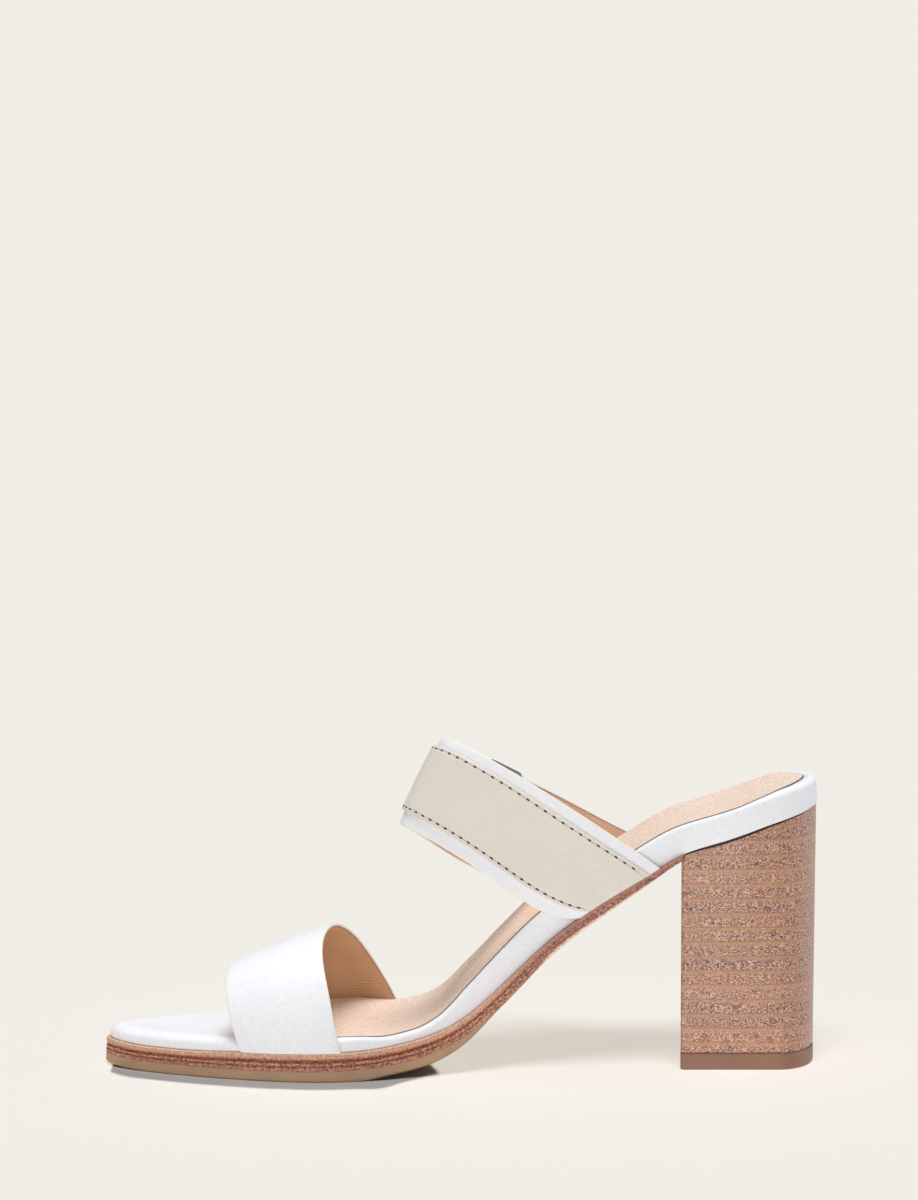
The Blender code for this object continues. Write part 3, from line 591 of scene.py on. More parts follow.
# Needle holes: dark capsules of painted shade, standing in for the shade inside each hole.
hole_painted_shade = plain_finish("needle_hole", "#40342A", "#332820", 0.001, 0.01, 0.8)
# Nickel-plated steel, polished: a clear mirror with faint wipe marks.
nickel = plain_finish("polished_nickel", "#CFCFD0", "#C6C6C8", 0.004, 0.002, 0.14, Metallic=1.0)


# ---------------------------------------------------------------- making pieces


def choose(piece):
    bpy.ops.object.select_all(action="DESELECT")
    piece.select_set(True)
    bpy.context.view_layer.objects.active = piece


def shaped_grid(name, columns, rows, shape, part=None):
    """Adds a grid and moves its corners to shape(i, j), in millimetres. part(i, j) is kept on
    each corner for its finish to read."""
    bpy.ops.object.select_all(action="DESELECT")
    bpy.ops.mesh.primitive_grid_add(x_subdivisions=columns, y_subdivisions=rows, size=1.0)
    piece = bpy.context.object
    piece.name = name
    mesh = piece.data
    mesh.name = name
    places = []
    parts = []
    for vert in mesh.vertices:
        i = round((vert.co.x + 0.5) * columns)
        j = round((vert.co.y + 0.5) * rows)
        places.extend(shape(i, j) * MM)
        if part:
            parts.append(part(i, j))
    mesh.vertices.foreach_set("co", places)
    if part:
        mesh.attributes.new("part", "FLOAT", "POINT").data.foreach_set("value", parts)
    mesh.update()
    return piece


def hand_over(piece, finish, nodes):
    """Gives a piece its finish, sets it under the root and hides the imported parts it dresses.
    """
    piece.data.materials.clear()
    piece.data.materials.append(finish)
    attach(piece, "root")
    if nodes:
        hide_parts(*nodes)
    return piece


def close_up(piece, finish, nodes, sharp):
    """Merges the seams, fills open ends, turns the faces outwards and hands the piece over."""
    choose(piece)
    bpy.ops.object.mode_set(mode="EDIT")
    bpy.ops.mesh.select_all(action="SELECT")
    bpy.ops.mesh.remove_doubles(threshold=MERGE)
    bpy.ops.mesh.fill_holes(sides=0)
    bpy.ops.mesh.select_all(action="SELECT")
    bpy.ops.mesh.normals_make_consistent(inside=False)
    bpy.ops.object.mode_set(mode="OBJECT")
    bpy.ops.object.shade_smooth_by_angle(angle=math.radians(sharp))
    return hand_over(piece, finish, nodes)


def loft(name, sections, finish, nodes, parts=None, sharp=40.0):
    """A closed piece through sections, each a ring of as many points. parts are kept for its
    finish: one for each point of a ring, or a function of section and point."""
    rows = len(sections[0])

    def shape(i, j):
        return sections[i][j % rows]

    part = parts
    if parts and not callable(parts):
        part = lambda i, j: parts[j % rows]
    piece = shaped_grid(name, len(sections) - 1, rows, shape, part)
    return close_up(piece, finish, nodes, sharp)


# ---------------------------------------------------------------- sole


def spaced_stations(start, end, sections):
    shared = [station_of(i / sections) for i in range(sections + 1)]
    space = 0.05 if start == 0.0 or end == LENGTH else 0.4
    return [start] + [place for place in shared if start + space < place < end - space] + [end]


def against_breast(section):
    """Slides a layer's last section along the seam line up to the heel's front face."""
    square = upright(BREAST)
    along = Vector((square.z, 0.0, -square.x))
    moved = []
    for place in section:
        outward = min(max(0.5 + (place.y + MID_LINE) / BREAST_WIDTH, 0.0), 1.0)
        face = BREAST - MID_STATION + (heel_front(OUTER) - BREAST) * outward
        moved.append(place + along * ((face - place.x) / along.x))
    return moved


def to_ground(point):
    station = point.x + MID_STATION
    lift = TOE_SPRING * max(1 - station / SPRING_RUN, 0.0) ** 2
    if station < FLAT_END:
        return Vector((point.x, point.y, lift))
    return Vector((point.x, point.y, max(point.z, 0.0) * ease((station - FLAT_END) / 12.0)))


def ring(station, wall, across, tread=0, lean=0.0):
    """A section of a sole layer: up the inner wall, over, down the outer wall and back
    underneath with as many points. tread points of the wall, from the bottom, are grounded."""
    inner = [on_sole(INNER, station - lean / 2, inset, height) for inset, height in wall]
    outer = [on_sole(OUTER, station + lean / 2, inset, height) for inset, height in wall]
    for i in range(tread):
        rise = wall[i][1] - wall[0][1]
        for row in (inner, outer):
            row[i] = to_ground(row[i]) + Vector((0.0, 0.0, rise))
    steps = [i / (across + 1) for i in range(1, across + 1)]
    top = [inner[-1].lerp(outer[-1], f) for f in steps]
    bottom = [outer[0].lerp(inner[0], f) for f in steps]
    return inner + top + outer[::-1] + bottom


def ring_parts(wall_parts, across, top=1.0, bottom=0.0):
    """The part kept for each point of such a ring."""
    return wall_parts + [top] * across + wall_parts[::-1] + [bottom] * across


def make_outsole():
    """Moulded rubber forefoot sole with a rounded lower corner."""
    sections = []
    for station in spaced_stations(0.0, RUBBER_END, 150):
        top = -welt_thickness(station) - rubber_loss(station)
        bottom = -welt_thickness(station) - sole_thickness(station)
        corner = [(TREAD_INSET + 0.3, bottom), (TREAD_INSET, bottom + 0.07)]
        thin = min((top - bottom) / 1.6, 1.0)
        corner += [(TREAD_INSET - 0.25, bottom + 0.28 * thin)]
        corner += [(RUBBER_INSET + 0.05, bottom + 0.65 * thin)]
        wall = corner + [(RUBBER_INSET, bottom + 1.0 * thin), (RUBBER_INSET, top - 0.15)]
        wall += [(RUBBER_INSET + 0.15, top)]
        section = ring(station, wall, 8, tread=3)
        hollow = 0.9 * ease((station - 8.0) / 8.0) * (1 - ease((station - 84.0) / 8.0))
        for i in range(1, 9):
            section[-i] += Vector((0.0, 0.0, hollow))
        sections.append(section)
    # Part 1 on the lower corner and underside: painted shade, dark brown grey.
    parts = ring_parts([1.0, 0.6, 0.2, 0.0, 0.0, 0.0, 0.0], 8, top=0.0, bottom=1.0)
    loft("outsole_rubber", sections, rubber, ["outsole"], parts)


def make_tread():
    """The tread: level bars across the forefoot, let into the outsole."""
    sections = []
    for station in np.linspace(TREAD_START, TREAD_END, 300):
        toe = 1 - math.sqrt(1 - max(1 - (station - TREAD_START) / 8.0, 0.0) ** 2)
        narrow = max(toe, max((station - TREAD_END) / 20.0 + 1, 0.0) ** 2)
        risen = ease((station - 84.0) / 14.0)
        foot = -welt_thickness(station) - sole_thickness(station) - 0.05 * risen
        foot = to_ground(on_sole(INNER, station, 1.0, foot)).z
        bar = (station - TREAD_START) % TREAD_PITCH
        channel = 0.65 * ease((bar - 3.2) / 0.35) * (1 - ease((bar - 4.25) / 0.35))
        channel *= 1 - ease((station - 88.0) / 6.0)
        middle = (outline_point(INNER, station, 0)[1] + outline_point(OUTER, station, 0)[1]) / 2
        section = []
        for side in (INNER, OUTER):
            y = outline_point(side, station, 1.3)[1]
            y += (middle - y) * narrow
            steps = range(TREAD_ACROSS)
            for i in steps if side == INNER else steps[::-1]:
                place = Vector((station - MID_STATION, y - MID_LINE, foot))
                place.y += (middle - y) * (i / TREAD_ACROSS)
                section.append(place + Vector((0.0, 0.0, channel if i else 0.0)))
        top = foot + 3.0 - 2.0 * risen
        sections.append(section + [Vector((*place.xy, top)) for place in section[::-1]])
    # Part 1 all over: the tread is painted dark as shade, like the rubber's underside.
    return loft("outsole_tread", sections, rubber, [], lambda i, j: 1.0, 30)


WELT_SIDE = [
    # part of the thickness from the bottom, inset
    (0.00, 0.30), (0.03, 0.10), (0.07, 0.00), (0.18, 0.00), (0.21, 0.10), (0.24, 0.36),
    (0.27, 0.42), (0.30, 0.30), (0.33, 0.08), (0.36, 0.00), (0.42, 0.02), (0.46, 0.28),
    (0.50, 0.52), (0.54, 0.60), (0.58, 0.52), (0.62, 0.30), (0.65, 0.12), (0.70, 0.03),
    (0.76, 0.00), (0.84, 0.00), (0.91, 0.04), (0.96, 0.14), (1.00, 0.34),
]
WELT_LEDGE = [(0.85, 0.6), (0.90, 0.3), (0.97, 0.08), (1.0, -0.1), (1.0, -0.6)]


def seam_drop(station):
    """The upper sits a little deeper in the welt round the toe."""
    return 0.75 * (1 - ease((station - 24.0) / 24.0))


def rubber_loss(station):
    """The rubber thins out where it ends, and the welt takes up the room."""
    return 0.9 * ease((station - 103.0) / 16.0) * (1 - ease((station - 128.0) / 16.0))


def wall_inset(station):
    """The foot bed's wall, which stands further out round the toe and the ball."""
    inset = BED_INSET - 0.9 * (1 - ease((station - 85.0) / 40.0))
    return inset + 0.3 * ease((station - 215.0) / 16.0)


def breast_taper(station):
    """The sole thins towards the heel's front."""
    return ease((station - 158.0) / 26.0)


def make_midsole():
    """The stacked welt: two worked grooves round its side, a bead along the top and the ledge
    that the white leather stands on. Its parts run to 0.8 up the side, then over the ledge."""
    sections = []
    for station in spaced_stations(0.0, BREAST, 190):
        bottom = -welt_thickness(station) - rubber_loss(station)
        bottom += 0.6 * breast_taper(station)
        top = -seam_drop(station)
        thick = top - bottom
        depth = min(thick / 5.0, 1.0) * (1 - 0.9 * ease((station - 100.0) / 24.0))
        wall = [(inset * depth, bottom + thick * part) for part, inset in WELT_SIDE]
        wall += [(wall_inset(station) - out, top) for _, out in WELT_LEDGE]
        sections.append(ring(station, wall, 1))
    tucked = ring(BREAST, [(inset + 2.9, height) for inset, height in wall], 1)
    sections[-1] = against_breast(sections[-1])
    sections.append([place + Vector((1.2, 0.0, 0.4)) for place in against_breast(tucked)])
    parts = [0.8 * part for part, _ in WELT_SIDE] + [part for part, _ in WELT_LEDGE]
    parts = ring_parts(parts, 1)
    loft("welt_midsole", sections, welt_leather, ["midsole"], parts, 60)


def make_waist():
    """The thin leather sole of the waist, bevelled along its edge: its bevel is left pale."""
    stations = spaced_stations(RUBBER_END, BREAST, 150)
    sections = []
    for station in stations:
        top = -welt_thickness(station) - rubber_loss(station)
        bottom = -welt_thickness(station) - sole_thickness(station)
        bottom += 0.35 * ease((station - 128.0) / 12.0) + 0.85 * breast_taper(station)
        top += 0.6 * breast_taper(station)
        thick = top - bottom
        wall = [(WAIST_BEVEL, bottom), (WAIST_BEVEL - 0.5, bottom + 0.08 * thick)]
        wall += [(WAIST_INSET + 0.25, bottom + 0.3 * thick)]
        wall += [(WAIST_INSET + 0.05, bottom + 0.6 * thick)]
        wall += [(WAIST_INSET, bottom + 0.85 * thick), (WAIST_INSET, top)]
        sections.append(ring(station, wall, 6))
    sections[-1] = against_breast(sections[-1])
    parts = ring_parts([0.0, 0.1, 0.3, 0.6, 0.85, 1.0], 6, bottom=-1.0)

    def stain(i, j):
        here = stations[min(i, len(stations) - 1)]
        bare = ease((here - 129.0) / 12.0) * (1 - ease((here - 172.0) / 8.0))
        return parts[j % len(parts)] + 1.0 - bare

    loft(
        "waist_sole_leather", sections, waist_leather, ["waist_sole"], stain
    )


def cup(fraction, station):
    """The foot bed's dish across its width, deeper under the heel and none at the tips."""
    depth = 0.3 + 0.5 * ease((station - 150.0) / 50.0)
    depth *= ease(station / 25.0) * ease((LENGTH - station) / 25.0)
    return -depth * (1 - (2 * fraction - 1) ** 2)


def dished_ring(station, wall, across, lean=0.0, under=False):
    section = ring(station, wall, across, lean=lean)
    first = len(wall)
    for i in range(across):
        fraction = (i + 1) / (across + 1)
        section[first + i] += upright(station) * cup(fraction, station)
        if under:
            section[len(section) - across + i] += upright(station) * cup(fraction, station)
    return section


def heel_lift_up(station):
    """How far the padding lifts the sock at the very back."""
    return 1.45 * ease((station - 203.0) / 22.0)


def make_footbed():
    """The platform wrapped in white calf: upright wall, rolled rim and the dished bed that the
    sock lies in. The rim is a broad soft roll round the toe."""
    sections = []
    for station in spaced_stations(0.0, LENGTH, 220):
        bed = bed_thickness(station) + heel_lift_up(station)
        top = bed_thickness(station) + RIM_RISE * ease((station - 62.0) / 18.0)
        top += 1.3 * ease((station - 203.0) / 20.0)
        toe = 1 - ease((station - 35.0) / 50.0)
        back = ease((station - 203.0) / 20.0)
        side = wall_inset(station)
        foot = -seam_drop(station)
        reach = 1.5 + 3.2 * toe + 0.6 * back
        drop = min(1.5 + 1.6 * toe + 0.6 * back, 0.75 * top)
        straight = top - drop
        wall = [(side + 0.3, foot - 0.05), (side + 0.08, foot + 0.08), (side, foot + 0.3)]
        wall += [(side, foot + 0.3 + (straight - foot - 0.3) * f) for f in (0.33, 0.66)]
        for degrees in range(0, 91, 9):
            angle = math.radians(degrees)
            inset = side + reach * (1 - math.cos(angle))
            wall.append((inset, top - drop * (1 - math.sin(angle))))
        rim = max(sock_inset(station) - 0.12, side + reach + 0.05)
        wall += [(rim, top), (rim + 0.08, top - 0.3 * (top - bed)), (rim + 0.1, bed)]
        sections.append(dished_ring(station, wall, 21))
    loft("footbed_cover", sections, white_leather, ["footbed"], sharp=60)


def sock_inset(station):
    return SOCK_INSET + 2.2 * ease((station - 205.0) / 22.0)


def make_sock():
    """The padded sock, glued down on the foot bed, its cut edge rolled over. Its part is 1
    along that edge, which is dark brown: partly the raw edge's own colour, partly painted shade
    where it meets the bed."""
    sections = []
    for station in spaced_stations(SOCK_FRONT, LENGTH, 220):
        base = bed_thickness(station) + heel_lift_up(station) - 0.05
        thick = GAP + SOCK_THICK + 0.05
        inset = sock_inset(station)
        wall = [(inset + 0.1, base), (inset, base + 0.35 * thick)]
        for degrees in (20, 40, 60, 80):
            angle = math.radians(degrees)
            rolled = base + thick * (0.4 + 0.6 * math.sin(angle))
            wall.append((inset + 0.6 * (1 - math.cos(angle)), rolled))
        wall.append((inset + 0.9, base + thick))
        lean = SOCK_LEAN * (1 - ease((station - SOCK_FRONT) / 30.0))
        sections.append(dished_ring(station, wall, 25, lean, under=True))
    # Part 1 on the lower rolled edge gets the dark brown: partly raw edge colour, partly painted
    # shade.
    parts = ring_parts([1.0, 1.0, 1.0, 1.0, 0.75, 0.1, 0.0], 25, top=0.0)
    loft("sock", sections, sock_leather, ["insole"], parts, 60)


# ---------------------------------------------------------------- heel


def heel_half_width(station):
    past = (station - (HEEL_BACK - HEEL_ROUND)) / HEEL_ROUND
    return HEEL_HALF_WIDTH * math.sqrt(max(1 - max(past, 0.0) ** 2, 0.0))


def heel_front(side):
    """The front face, set back a little on the outer side."""
    return BREAST + (HEEL_SET_BACK if side == OUTER else 0.0)


def heel_low(side, part):
    station = heel_front(side) + (HEEL_BACK - heel_front(side)) * part
    return Vector((station - MID_STATION, side * heel_half_width(station) - MID_LINE, 0.0))


def heel_high(side, part):
    back = outline_point(OUTER, LENGTH, SEAT_INSET)[0]
    edge = outline_point(side, BREAST + (LENGTH - BREAST) * part, SEAT_INSET)
    station = heel_front(side) + (back - 0.3 - heel_front(side)) * part
    return Vector((station - MID_STATION, edge[1] - MID_LINE, seam_height(station)))


def heel_round(end):
    """The heel's outline at its foot or its seat, from the middle of its front face by the
    inner side round to the outer side, with rounded front corners."""
    middle = end(INNER, 0.0).lerp(end(OUTER, 0.0), 0.5)
    quarter = [math.sin(math.pi / 2 * i / HEEL_STEPS) for i in range(HEEL_STEPS + 1)]
    halves = []
    for side in (INNER, OUTER):
        edge = [end(side, part) for part in quarter]
        sharp = edge[0]
        inwards = sharp + (middle - sharp).normalized() * HEEL_CORNER
        rest = [place for place in edge if (place - sharp).length > HEEL_CORNER]
        face = [middle.lerp(inwards, i / 6) for i in range(6)]
        for t in (0.0, 0.2, 0.4, 0.6, 0.8):
            face.append(inwards.lerp(sharp, t).lerp(sharp.lerp(rest[0], t), t))
        halves.append(face + rest)
    return halves[0] + halves[1][-2:0:-1]


def heel_centre(end):
    return end(INNER, HEEL_MIDDLE).lerp(end(OUTER, HEEL_MIDDLE), 0.5)


def level_move(place, centre, reach):
    """Moves a place level towards a centre."""
    return place + Vector((centre.x - place.x, centre.y - place.y, 0.0)).normalized() * reach


def make_heel():
    """The stack: its foot has the top piece's outline and its seat that of the foot bed, with
    a fine groove where two lifts meet and a gap under the foot bed, painted near black as
    shade. Its part is 1 in that gap."""
    outlines = list(zip(heel_round(heel_low), heel_round(heel_high)))
    centre_low, centre_high = heel_centre(heel_low), heel_centre(heel_high)
    levels = [TOP_PIECE - 0.05]
    for lift in range(LIFTS):
        lines = [LIFT_START + (lift + part) * LIFT for part in LIFT_PARTS]
        levels += [level for level in lines if level > TOP_PIECE + 0.1]

    def carved(i, foot, seat):
        along = min(max((seat.x + MID_STATION - BREAST) / (LENGTH - 3.0 - BREAST), 0.0), 1.0)
        gap = 0.15 + SEAT_GAP * math.sqrt(max(math.sin(math.pi * along**0.8), 0.0))
        z = min(levels[min(i, len(levels) - 1)], seat.z - gap)
        part = max((z - TOP_PIECE) / (seat.z - TOP_PIECE), 0.0)
        place = foot.lerp(seat, part)
        centre = centre_low.lerp(centre_high, part)
        place.z = z
        layer = (z - LIFT_START) / LIFT
        near = abs(layer - round(layer)) * LIFT
        groove = LIFT_GROOVE * hump(near, 0.16) + (0.35 if z < TOP_PIECE + 0.06 else 0.0)
        groove += 0.12 * hump(z - TOP_PIECE, 0.25) + 0.12 * hump(seat.z - gap - z, 0.12)
        if i >= len(levels):
            groove = SEAT_GAP_DEPTH
            place.z = z if i == len(levels) else seat.z + 0.02
        return level_move(place, centre, groove)

    sections = [[carved(i, *ends) for ends in outlines] for i in range(len(levels) + 2)]
    kept = lambda i, j: float(i >= len(levels))
    loft("heel_stack", sections, heel_leather, ["heel"], kept, 50)


def make_top_piece():
    """The replaceable top piece with softened edges."""
    outline = heel_round(heel_low)
    centre = heel_centre(heel_low)
    sections = []
    for height, inset in TOP_PIECE_SIDE:
        lifted = Vector((0, 0, height))
        sections.append([level_move(place, centre, inset) + lifted for place in outline])
    loft("heel_top_piece", sections, cap_plastic, ["top_piece"], sharp=50)


# ---------------------------------------------------------------- upper


def half_round(centre, radius, middle, start, end, steps):
    """Points round a folded edge: (across, height)."""
    points = []
    for i in range(steps + 1):
        angle = math.radians(start + (end - start) * i / steps)
        points.append((centre + radius * math.cos(angle), middle + radius * math.sin(angle)))
    return points


def strip_section(width, wall, steps, top=None, edge_wall=None):
    """A leather strip's section, folded round at both edges: a ring of (across, height) from
    its rear top edge forwards. steps are distances in from an edge, top(distance) the change
    of its upper side's height there, and edge_wall its thickness where it is skived."""
    half = width / 2
    edge_wall = edge_wall or wall
    radius = edge_wall / 2
    crest = wall + (top(0.0) if top else 0.0)
    inward = [step for step in steps if step > radius]
    between = np.linspace(inward[-1], width - inward[-1], 23)[1:-1]
    across = inward + list(between) + [width - step for step in inward[::-1]]

    def upper(distance):
        return wall + (top(min(distance, width - distance)) if top else 0.0)

    def under(distance):
        near = min(distance, width - distance)
        return (crest - edge_wall) * (1 - ease((near - radius) / SKIVE))

    rear = half_round(half - radius, radius, crest - radius, -90, 90, 8)
    fore = half_round(radius - half, radius, crest - radius, 90, 270, 8)
    topside = [(half - distance, upper(distance)) for distance in across]
    underside = [(distance - half, under(distance)) for distance in across]
    return rear + topside + fore + underside


def make_strip(
    name, columns, place, width, wall, steps, finish, nodes, top=None, tip=0.0, thin=None
):
    """A strip of leather with folded edges. columns are its places along, place(along,
    across, height) sets a point, a tip rounds its last end off over half its wall, and thin
    is the wall at its skived edges. Its part is 1 on the edges."""
    stations = [(columns[0], 0.0)] + [(along, 1.0) for along in columns]
    for degrees in (20, 40, 60, 75, 90) if tip else (90,):
        turn = math.radians(degrees)
        stations.append((columns[-1] + tip * math.sin(turn), math.cos(turn)))
    sections = []
    for along, full in stations:
        section = []
        for across, height in strip_section(width(along), wall, steps, top, thin):
            section.append(place(along, across, wall / 2 + (height - wall / 2) * full))
        sections.append(section)
    edge = [1.0] * 7 + [0.8, 0.5]
    flat = [0.0] * (len(sections[0]) // 2 - len(edge))
    loft(name, sections, finish, nodes, edge + flat + edge[::-1] + flat, 60)


def ripple(x, y, seed):
    """Slow unevenness of hand-lasted leather, about -1 to 1."""
    slow = math.sin(x * 0.11 + seed) * math.cos(y * 0.17 + 1.3 * seed)
    return (slow + 0.6 * math.sin(x * 0.23 - y * 0.19 + 2.1 * seed)) / 1.6


EDGE_STEPS = (0.8, 1.1, 1.5, 2.0, 2.6, 3.4, 4.5)
STITCH_STEPS = (0.6, 0.75, 0.9, 1.05, 1.2, 1.35, 1.5, 1.65, 1.85, 2.2, 2.8, 3.6, 4.6)
TAB_STEPS = (0.45, 0.8, 1.4, 2.0, 3.0)
LINING_STEPS = (0.2, 0.5, 1.0, 2.0, 4.0)
SKIVE = 3.4  # how far in from its edge a strap is skived, down to SKIVED
SKIVED = 0.85
STRAP_ROLL = 0.16
FOOT_DROP, FOOT_RUN = 0.3, 2.0  # a strap's ends reach this deep into the welt, over this run
LINING_WALL = 0.34
LINING_SHY = 1.1
LINING_SINK = 0.2


def make_strap(name, form, lining_leather, seed):
    """A lasted strap: white calf turned over its skived edges, and the lining inside it."""
    columns = [i / 200 for i in range(201)]

    def lasted(u, v, height):
        lift = 0.22 * ripple(u * form.length, v * form.width(u), seed) * math.sin(math.pi * u)
        return form.point(u, v, height + lift * (1 - (2 * v - 1) ** 6))

    def outside(u, across, height):
        v = 0.5 + across / form.width(u)
        point = lasted(u, v, height)
        end = min(u, 1 - u) * form.length
        if end < FOOT_RUN:
            side = "inner" if u < 0.5 else "outer"
            station = form.edge(side, min(max(v, 0.0), 1.0))
            point -= upright(station) * FOOT_DROP * (1 - ease(end / FOOT_RUN))
        return point

    def inside(u, across, height):
        near = form.width(u) / 2 - abs(across)
        under = (STRAP_WALL - STRAP_ROLL - SKIVED) * (1 - ease((near - SKIVED / 2) / SKIVE))
        return lasted(u, 0.5 + across / form.width(u), height + under - LINING_SINK)

    def roll(distance):
        return -STRAP_ROLL * math.exp(-distance / 1.6)

    make_strip(
        name + "_leather", columns, outside, form.width, STRAP_WALL, EDGE_STEPS,
        white_leather, [name], roll, thin=SKIVED
    )
    make_strip(
        name + "_lining", columns, inside, lambda u: form.width(u) - LINING_SHY, LINING_WALL,
        LINING_STEPS, lining_leather, []
    )


def band_height(up):
    """The band's underside above the strap: flat on it, over the hinge bar, then on the tab."""
    rise = ease((BAR_AT + FRAME_REACH - 2.5 - up) / 8.0)
    fall = ease((BAR_AT - 2.0 - up) / 8.0)
    settle = ease((BAR_AT - TAB_RETURN - up) / 8.0)
    step = GAP + TAB_WALL
    return 0.05 + (BAND_OVER - GAP) * rise - (BAND_OVER - GAP - 2 * step) * fall - step * settle


def band_width(up):
    """The band's width in millimetres, narrowing at its rounded tip."""
    u = 1 - up / instep.length
    low, high = band_edges(u)
    past = min(max(1 - (up - BAND_TIP) / TIP_ROUND, 0.0), 1.0)
    return (high - low) * instep.width(u) * (0.35 + 0.65 * math.sqrt(1 - past**2))


def stitch_trough(distance):
    """The thread line pressed into the band, and the band's edge rolled down."""
    return -0.16 * hump(distance - STITCH_INSET, 0.3) - 0.1 * math.exp(-distance / 0.7)


def make_band():
    ups = list(np.linspace(instep.length, BAND_TIP + TIP_ROUND, 190))
    ups += [BAND_TIP + TIP_ROUND * (1 - math.sin(math.pi / 2 * i / 16)) for i in range(1, 17)]

    def place(up, across, height):
        return instep.laid(up, across, band_height(up) + height + 0.25 * GAP)

    make_strip(
        "instep_band_leather", ups, place, band_width, BAND_WALL, STITCH_STEPS, bone_leather,
        ["instep_band"], stitch_trough, tip=-0.5
    )


def stitch_spots(shift):
    """Every stitch of both edges: its place on the band, moved along, and its direction."""
    ups = np.linspace(instep.length - 1.5, BAND_TIP + STITCH_INSET, 600)
    spots = []
    for side in (-1, 1):
        line = np.array([(up, side * (band_width(up) / 2 - STITCH_INSET)) for up in ups])
        even = (np.arange(int(travelled(line)[-1] / STITCH)) + 0.5) * STITCH
        for middle, ahead in zip(points_at(line, even), points_at(line, even + 0.4)):
            step = (ahead - middle) / np.linalg.norm(ahead - middle)
            spots.append((middle + step * shift, step))
    return spots


def scattered(name, finish, spots, half_length, radius, sink, segments=8, rings=6):
    """Copies one small capsule to spots on the band, as one piece."""
    copies = []
    for here, step in spots:
        height = band_height(here[0]) + BAND_WALL - 0.15 + sink
        place = instep.laid(here[0], here[1], height)
        beyond = instep.laid(*(here + step * 0.4), height)
        above = instep.laid(here[0], here[1], height + 0.5)
        along = (beyond - place).normalized()
        out = (above - place).normalized()
        out = (out - along * out.dot(along)).normalized()
        turn = Matrix((along, out.cross(along), out)).transposed().to_4x4()
        copies.append(Matrix.Translation(place * MM) @ turn)
    bpy.ops.object.select_all(action="DESELECT")
    bpy.ops.mesh.primitive_uv_sphere_add(segments=segments, ring_count=rings, radius=1.0)
    first = bpy.context.object
    size = Matrix.Diagonal((half_length * MM, radius * MM, radius * 0.8 * MM, 1.0))
    bpy.ops.object.mode_set(mode="EDIT")
    bpy.ops.transform.rotate(value=math.pi / 2, orient_axis="Y", center_override=(0, 0, 0))
    bpy.ops.object.mode_set(mode="OBJECT")
    base = first.data
    made = []
    for where in copies:
        mesh = base.copy()
        mesh.transform(where @ size)
        part = bpy.data.objects.new(name, mesh)
        bpy.context.collection.objects.link(part)
        made.append(part)
    bpy.data.objects.remove(first)
    choose(made[0])
    for part in made:
        part.select_set(True)
    bpy.ops.object.join()
    whole = bpy.context.object
    whole.name = name
    whole.data.name = name
    bpy.ops.object.shade_smooth()
    hand_over(whole, finish, [])


def make_tab():
    """The buckle tab: up the strap, round the hinge bar and back on itself."""
    side_view = [(up, GAP) for up in np.linspace(0.5, 36.0, 12)]
    for degrees in range(-90, 151, 12):
        angle = math.radians(degrees)
        up = BAR_AT + LOOP_RADIUS * math.cos(angle)
        side_view.append((up, FRAME_HEIGHT + LOOP_RADIUS * math.sin(angle)))
    doubled = 2 * (GAP + TAB_WALL)
    start_up, start_height = side_view[-1]
    end_up = BAR_AT - TAB_RETURN
    for i in range(1, 13):
        part = i / 12
        height = start_height + (doubled - start_height) * ease(part * 1.6)
        side_view.append((start_up + (end_up - start_up) * part, height))
    line = np.array(side_view)
    steps = np.diff(line, axis=0)
    normals = []
    for i in range(len(line)):
        before = steps[max(i - 1, 0)]
        after = steps[min(i, len(steps) - 1)]
        along = before / np.linalg.norm(before) + after / np.linalg.norm(after)
        along /= np.linalg.norm(along)
        normals.append((-along[1], along[0]))
    half = instep.band_half_width() - TAB_SHY

    def place(index, across, height):
        whole = int(round(index))
        up, base = line[whole]
        out_up, out_height = normals[whole]
        return instep.laid(up + out_up * height, across, base + out_height * height)

    make_strip(
        "buckle_tab_leather", list(range(len(line))), place, lambda index: 2 * half, TAB_WALL,
        TAB_STEPS, bone_leather, ["buckle_tab"]
    )


def tube(name, path, radii, closed, node, sides):
    """A round steel wire along points, with its radius at each."""
    count = len(path)
    frames = []
    normal = None
    for i in range(count):
        before = path[(i - 1) % count] if closed or i else path[i]
        after = path[(i + 1) % count] if closed or i < count - 1 else path[i]
        along = (after - before).normalized()
        if normal is None:
            normal = along.orthogonal().normalized()
        normal = (normal - along * normal.dot(along)).normalized()
        frames.append((normal.copy(), along.cross(normal)))
    turns = [2 * math.pi * j / sides for j in range(sides)]
    sections = []
    for place, reach, (across, out) in zip(path, radii, frames):
        wide, high = across * reach, out * reach
        sections.append([place + wide * math.cos(turn) + high * math.sin(turn) for turn in turns])
    if closed:
        sections.append(sections[0])
    loft(name, sections, nickel, [node], sharp=60)


def make_frame():
    """The buckle frame: a rounded rectangle of round wire that follows the strap."""
    half_length = FRAME_REACH / 2 - FRAME_CORNER
    half_width = instep.band_half_width() + FRAME_SLACK + WIRE - FRAME_CORNER
    flat = []
    for corner, (toward_up, toward_side) in enumerate(((1, 1), (-1, 1), (-1, -1), (1, -1))):
        for step in range(9):
            angle = math.pi / 2 * (corner + step / 8)
            up = BAR_AT + FRAME_REACH / 2 + toward_up * half_length
            up += FRAME_CORNER * math.cos(angle)
            across = toward_side * half_width + FRAME_CORNER * math.sin(angle)
            flat.append((up, across))
        if corner in (1, 3):
            up = flat[-1][0]
            start = toward_side * half_width
            for i in range(1, 12):
                flat.append((up, start - 2 * start * i / 12))
    points = [instep.laid(up, across, FRAME_HEIGHT) for up, across in flat]
    tube("buckle_frame_wire", points, [WIRE] * len(points), True, "buckle_frame", 14)


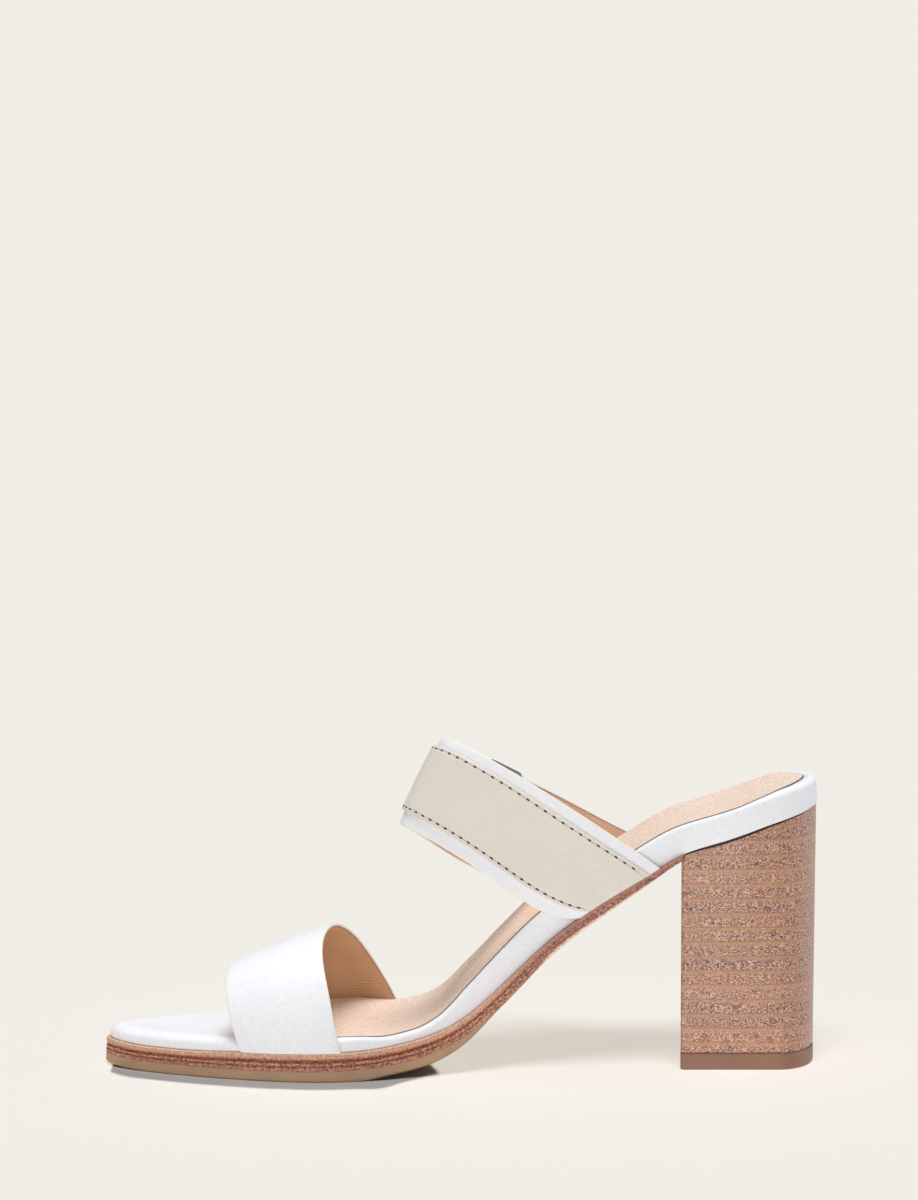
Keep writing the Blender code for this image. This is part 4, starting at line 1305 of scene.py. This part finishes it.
def make_prong():
    hook = WIRE + GAP + PRONG_WIRE
    places = []
    for degrees in range(-90, -271, -12):
        angle = math.radians(degrees)
        places.append((BAR_AT + hook * math.cos(angle), FRAME_HEIGHT + hook * math.sin(angle)))
    for i in range(1, 15):
        places.append((BAR_AT + 1.12 * i / 14 * FRAME_REACH, FRAME_HEIGHT + hook))
    points = [instep.laid(up, 0.0, height) for up, height in places]
    radii = [PRONG_WIRE] * (len(points) - 1) + [PRONG_WIRE * 0.6]
    tube("buckle_prong_wire", points, radii, False, "buckle_prong", 12)


# ---------------------------------------------------------------- the sandal

make_outsole()
tread = make_tread()
make_midsole()
make_waist()
make_footbed()
make_sock()
make_heel()
make_top_piece()
make_strap("front_strap", front, forefoot_lining, 1.0)
make_strap("instep_strap", instep, lining_painted_paler_for_instep, 2.4)
make_band()
scattered("band_stitches", thread_nylon, stitch_spots(0.0), 1.05, THREAD, 0.02)
# Needle holes between the stitches: dark capsules of painted shade.
scattered("band_needle_holes", hole_painted_shade, stitch_spots(STITCH / 2), 0.72, 0.36, 0.02)
# The punched holes: dark discs of painted shade.
punched = [(np.array((up, 0.0)), np.array((-1.0, 0.0))) for up in PUNCHED]
scattered("band_punched_holes", hole_painted_shade, punched, 0.95, 0.95, 0.0, 20, 8)
make_tab()
make_frame()
make_prong()


# ---------------------------------------------------------------- floor, light and camera


def make_floor():
    bpy.ops.object.select_all(action="DESELECT")
    bpy.ops.mesh.primitive_plane_add(size=800.0, location=(0, 0, 0))
    floor = bpy.context.object
    floor.name = "studio_floor"
    # Matt white paint: an even, slightly warm ground without any shine.
    paint = {"Base_Color": "#F1EEE7", "Specular_IOR_Level": 0.0}
    floor.data.materials.append(new_finish("matt_studio_floor", 0.9, **paint)[0])
    return floor


def only(name, pieces, kept=True):
    """A collection for light linking: just these pieces, or all but them."""
    group = bpy.data.collections.new(name)
    for piece in pieces:
        group.objects.link(piece)
    if not kept:
        for member in group.collection_objects:
            member.light_linking.link_state = "EXCLUDE"
    return group


def add_sun(name, strength, angle, rotation, lit=None, shading=None, colour="#FFFFFF"):
    """A broad soft lamp; lit are the pieces it lights and shading those that shade it."""
    light = bpy.data.lights.new(name, "SUN")
    light.energy = strength
    light.angle = math.radians(angle)
    light.color = linear(colour)[:3]
    lamp = bpy.data.objects.new(name, light)
    lamp.rotation_euler = [math.radians(turn) for turn in rotation]
    bpy.context.scene.collection.objects.link(lamp)
    lamp.light_linking.receiver_collection = lit
    lamp.light_linking.blocker_collection = shading


floor = make_floor()
sandal_alone = only("all_but_the_floor", [floor], kept=False)
floor_alone = only("floor_alone", [floor])
world = bpy.data.worlds.new("studio")
world.use_nodes = True
world.node_tree.nodes["Background"].inputs["Color"].default_value = (1, 1, 1, 1)
world.node_tree.nodes["Background"].inputs["Strength"].default_value = 0.03
bpy.context.scene.world = world
add_sun("overhead_softbox", 2.57, 34, (-8, 0, 0), sandal_alone)
add_sun("surround", 0.8, 170, (0, 0, 0), sandal_alone, sandal_alone)
add_sun("front_fill", 1.18, 70, (90, 0, -14), sandal_alone, sandal_alone)
add_sun("back_rim", 0.9, 40, (80, 0, 112), sandal_alone, colour="#DCE6FF")
add_sun("floor_key", 1.12, 26, (24, 0, 0), floor_alone, colour="#F0F6FF")
add_sun("floor_wash", 9.5, 4, (-77, 0, 0), floor_alone, only("tread", [tread]), "#FFFCF8")

lens = bpy.data.cameras.new("camera")
lens.sensor_width = 36.0
lens.lens = 175.74
lens.clip_end = 2000.0
camera = bpy.data.objects.new("camera", lens)
camera.location = (-0.0010, -1.8696, 0.3463)
camera.rotation_euler = (math.radians(84.0), 0.0, 0.0)
bpy.context.scene.collection.objects.link(camera)
bpy.context.scene.camera = camera
bpy.context.scene.view_settings.view_transform = "Standard"
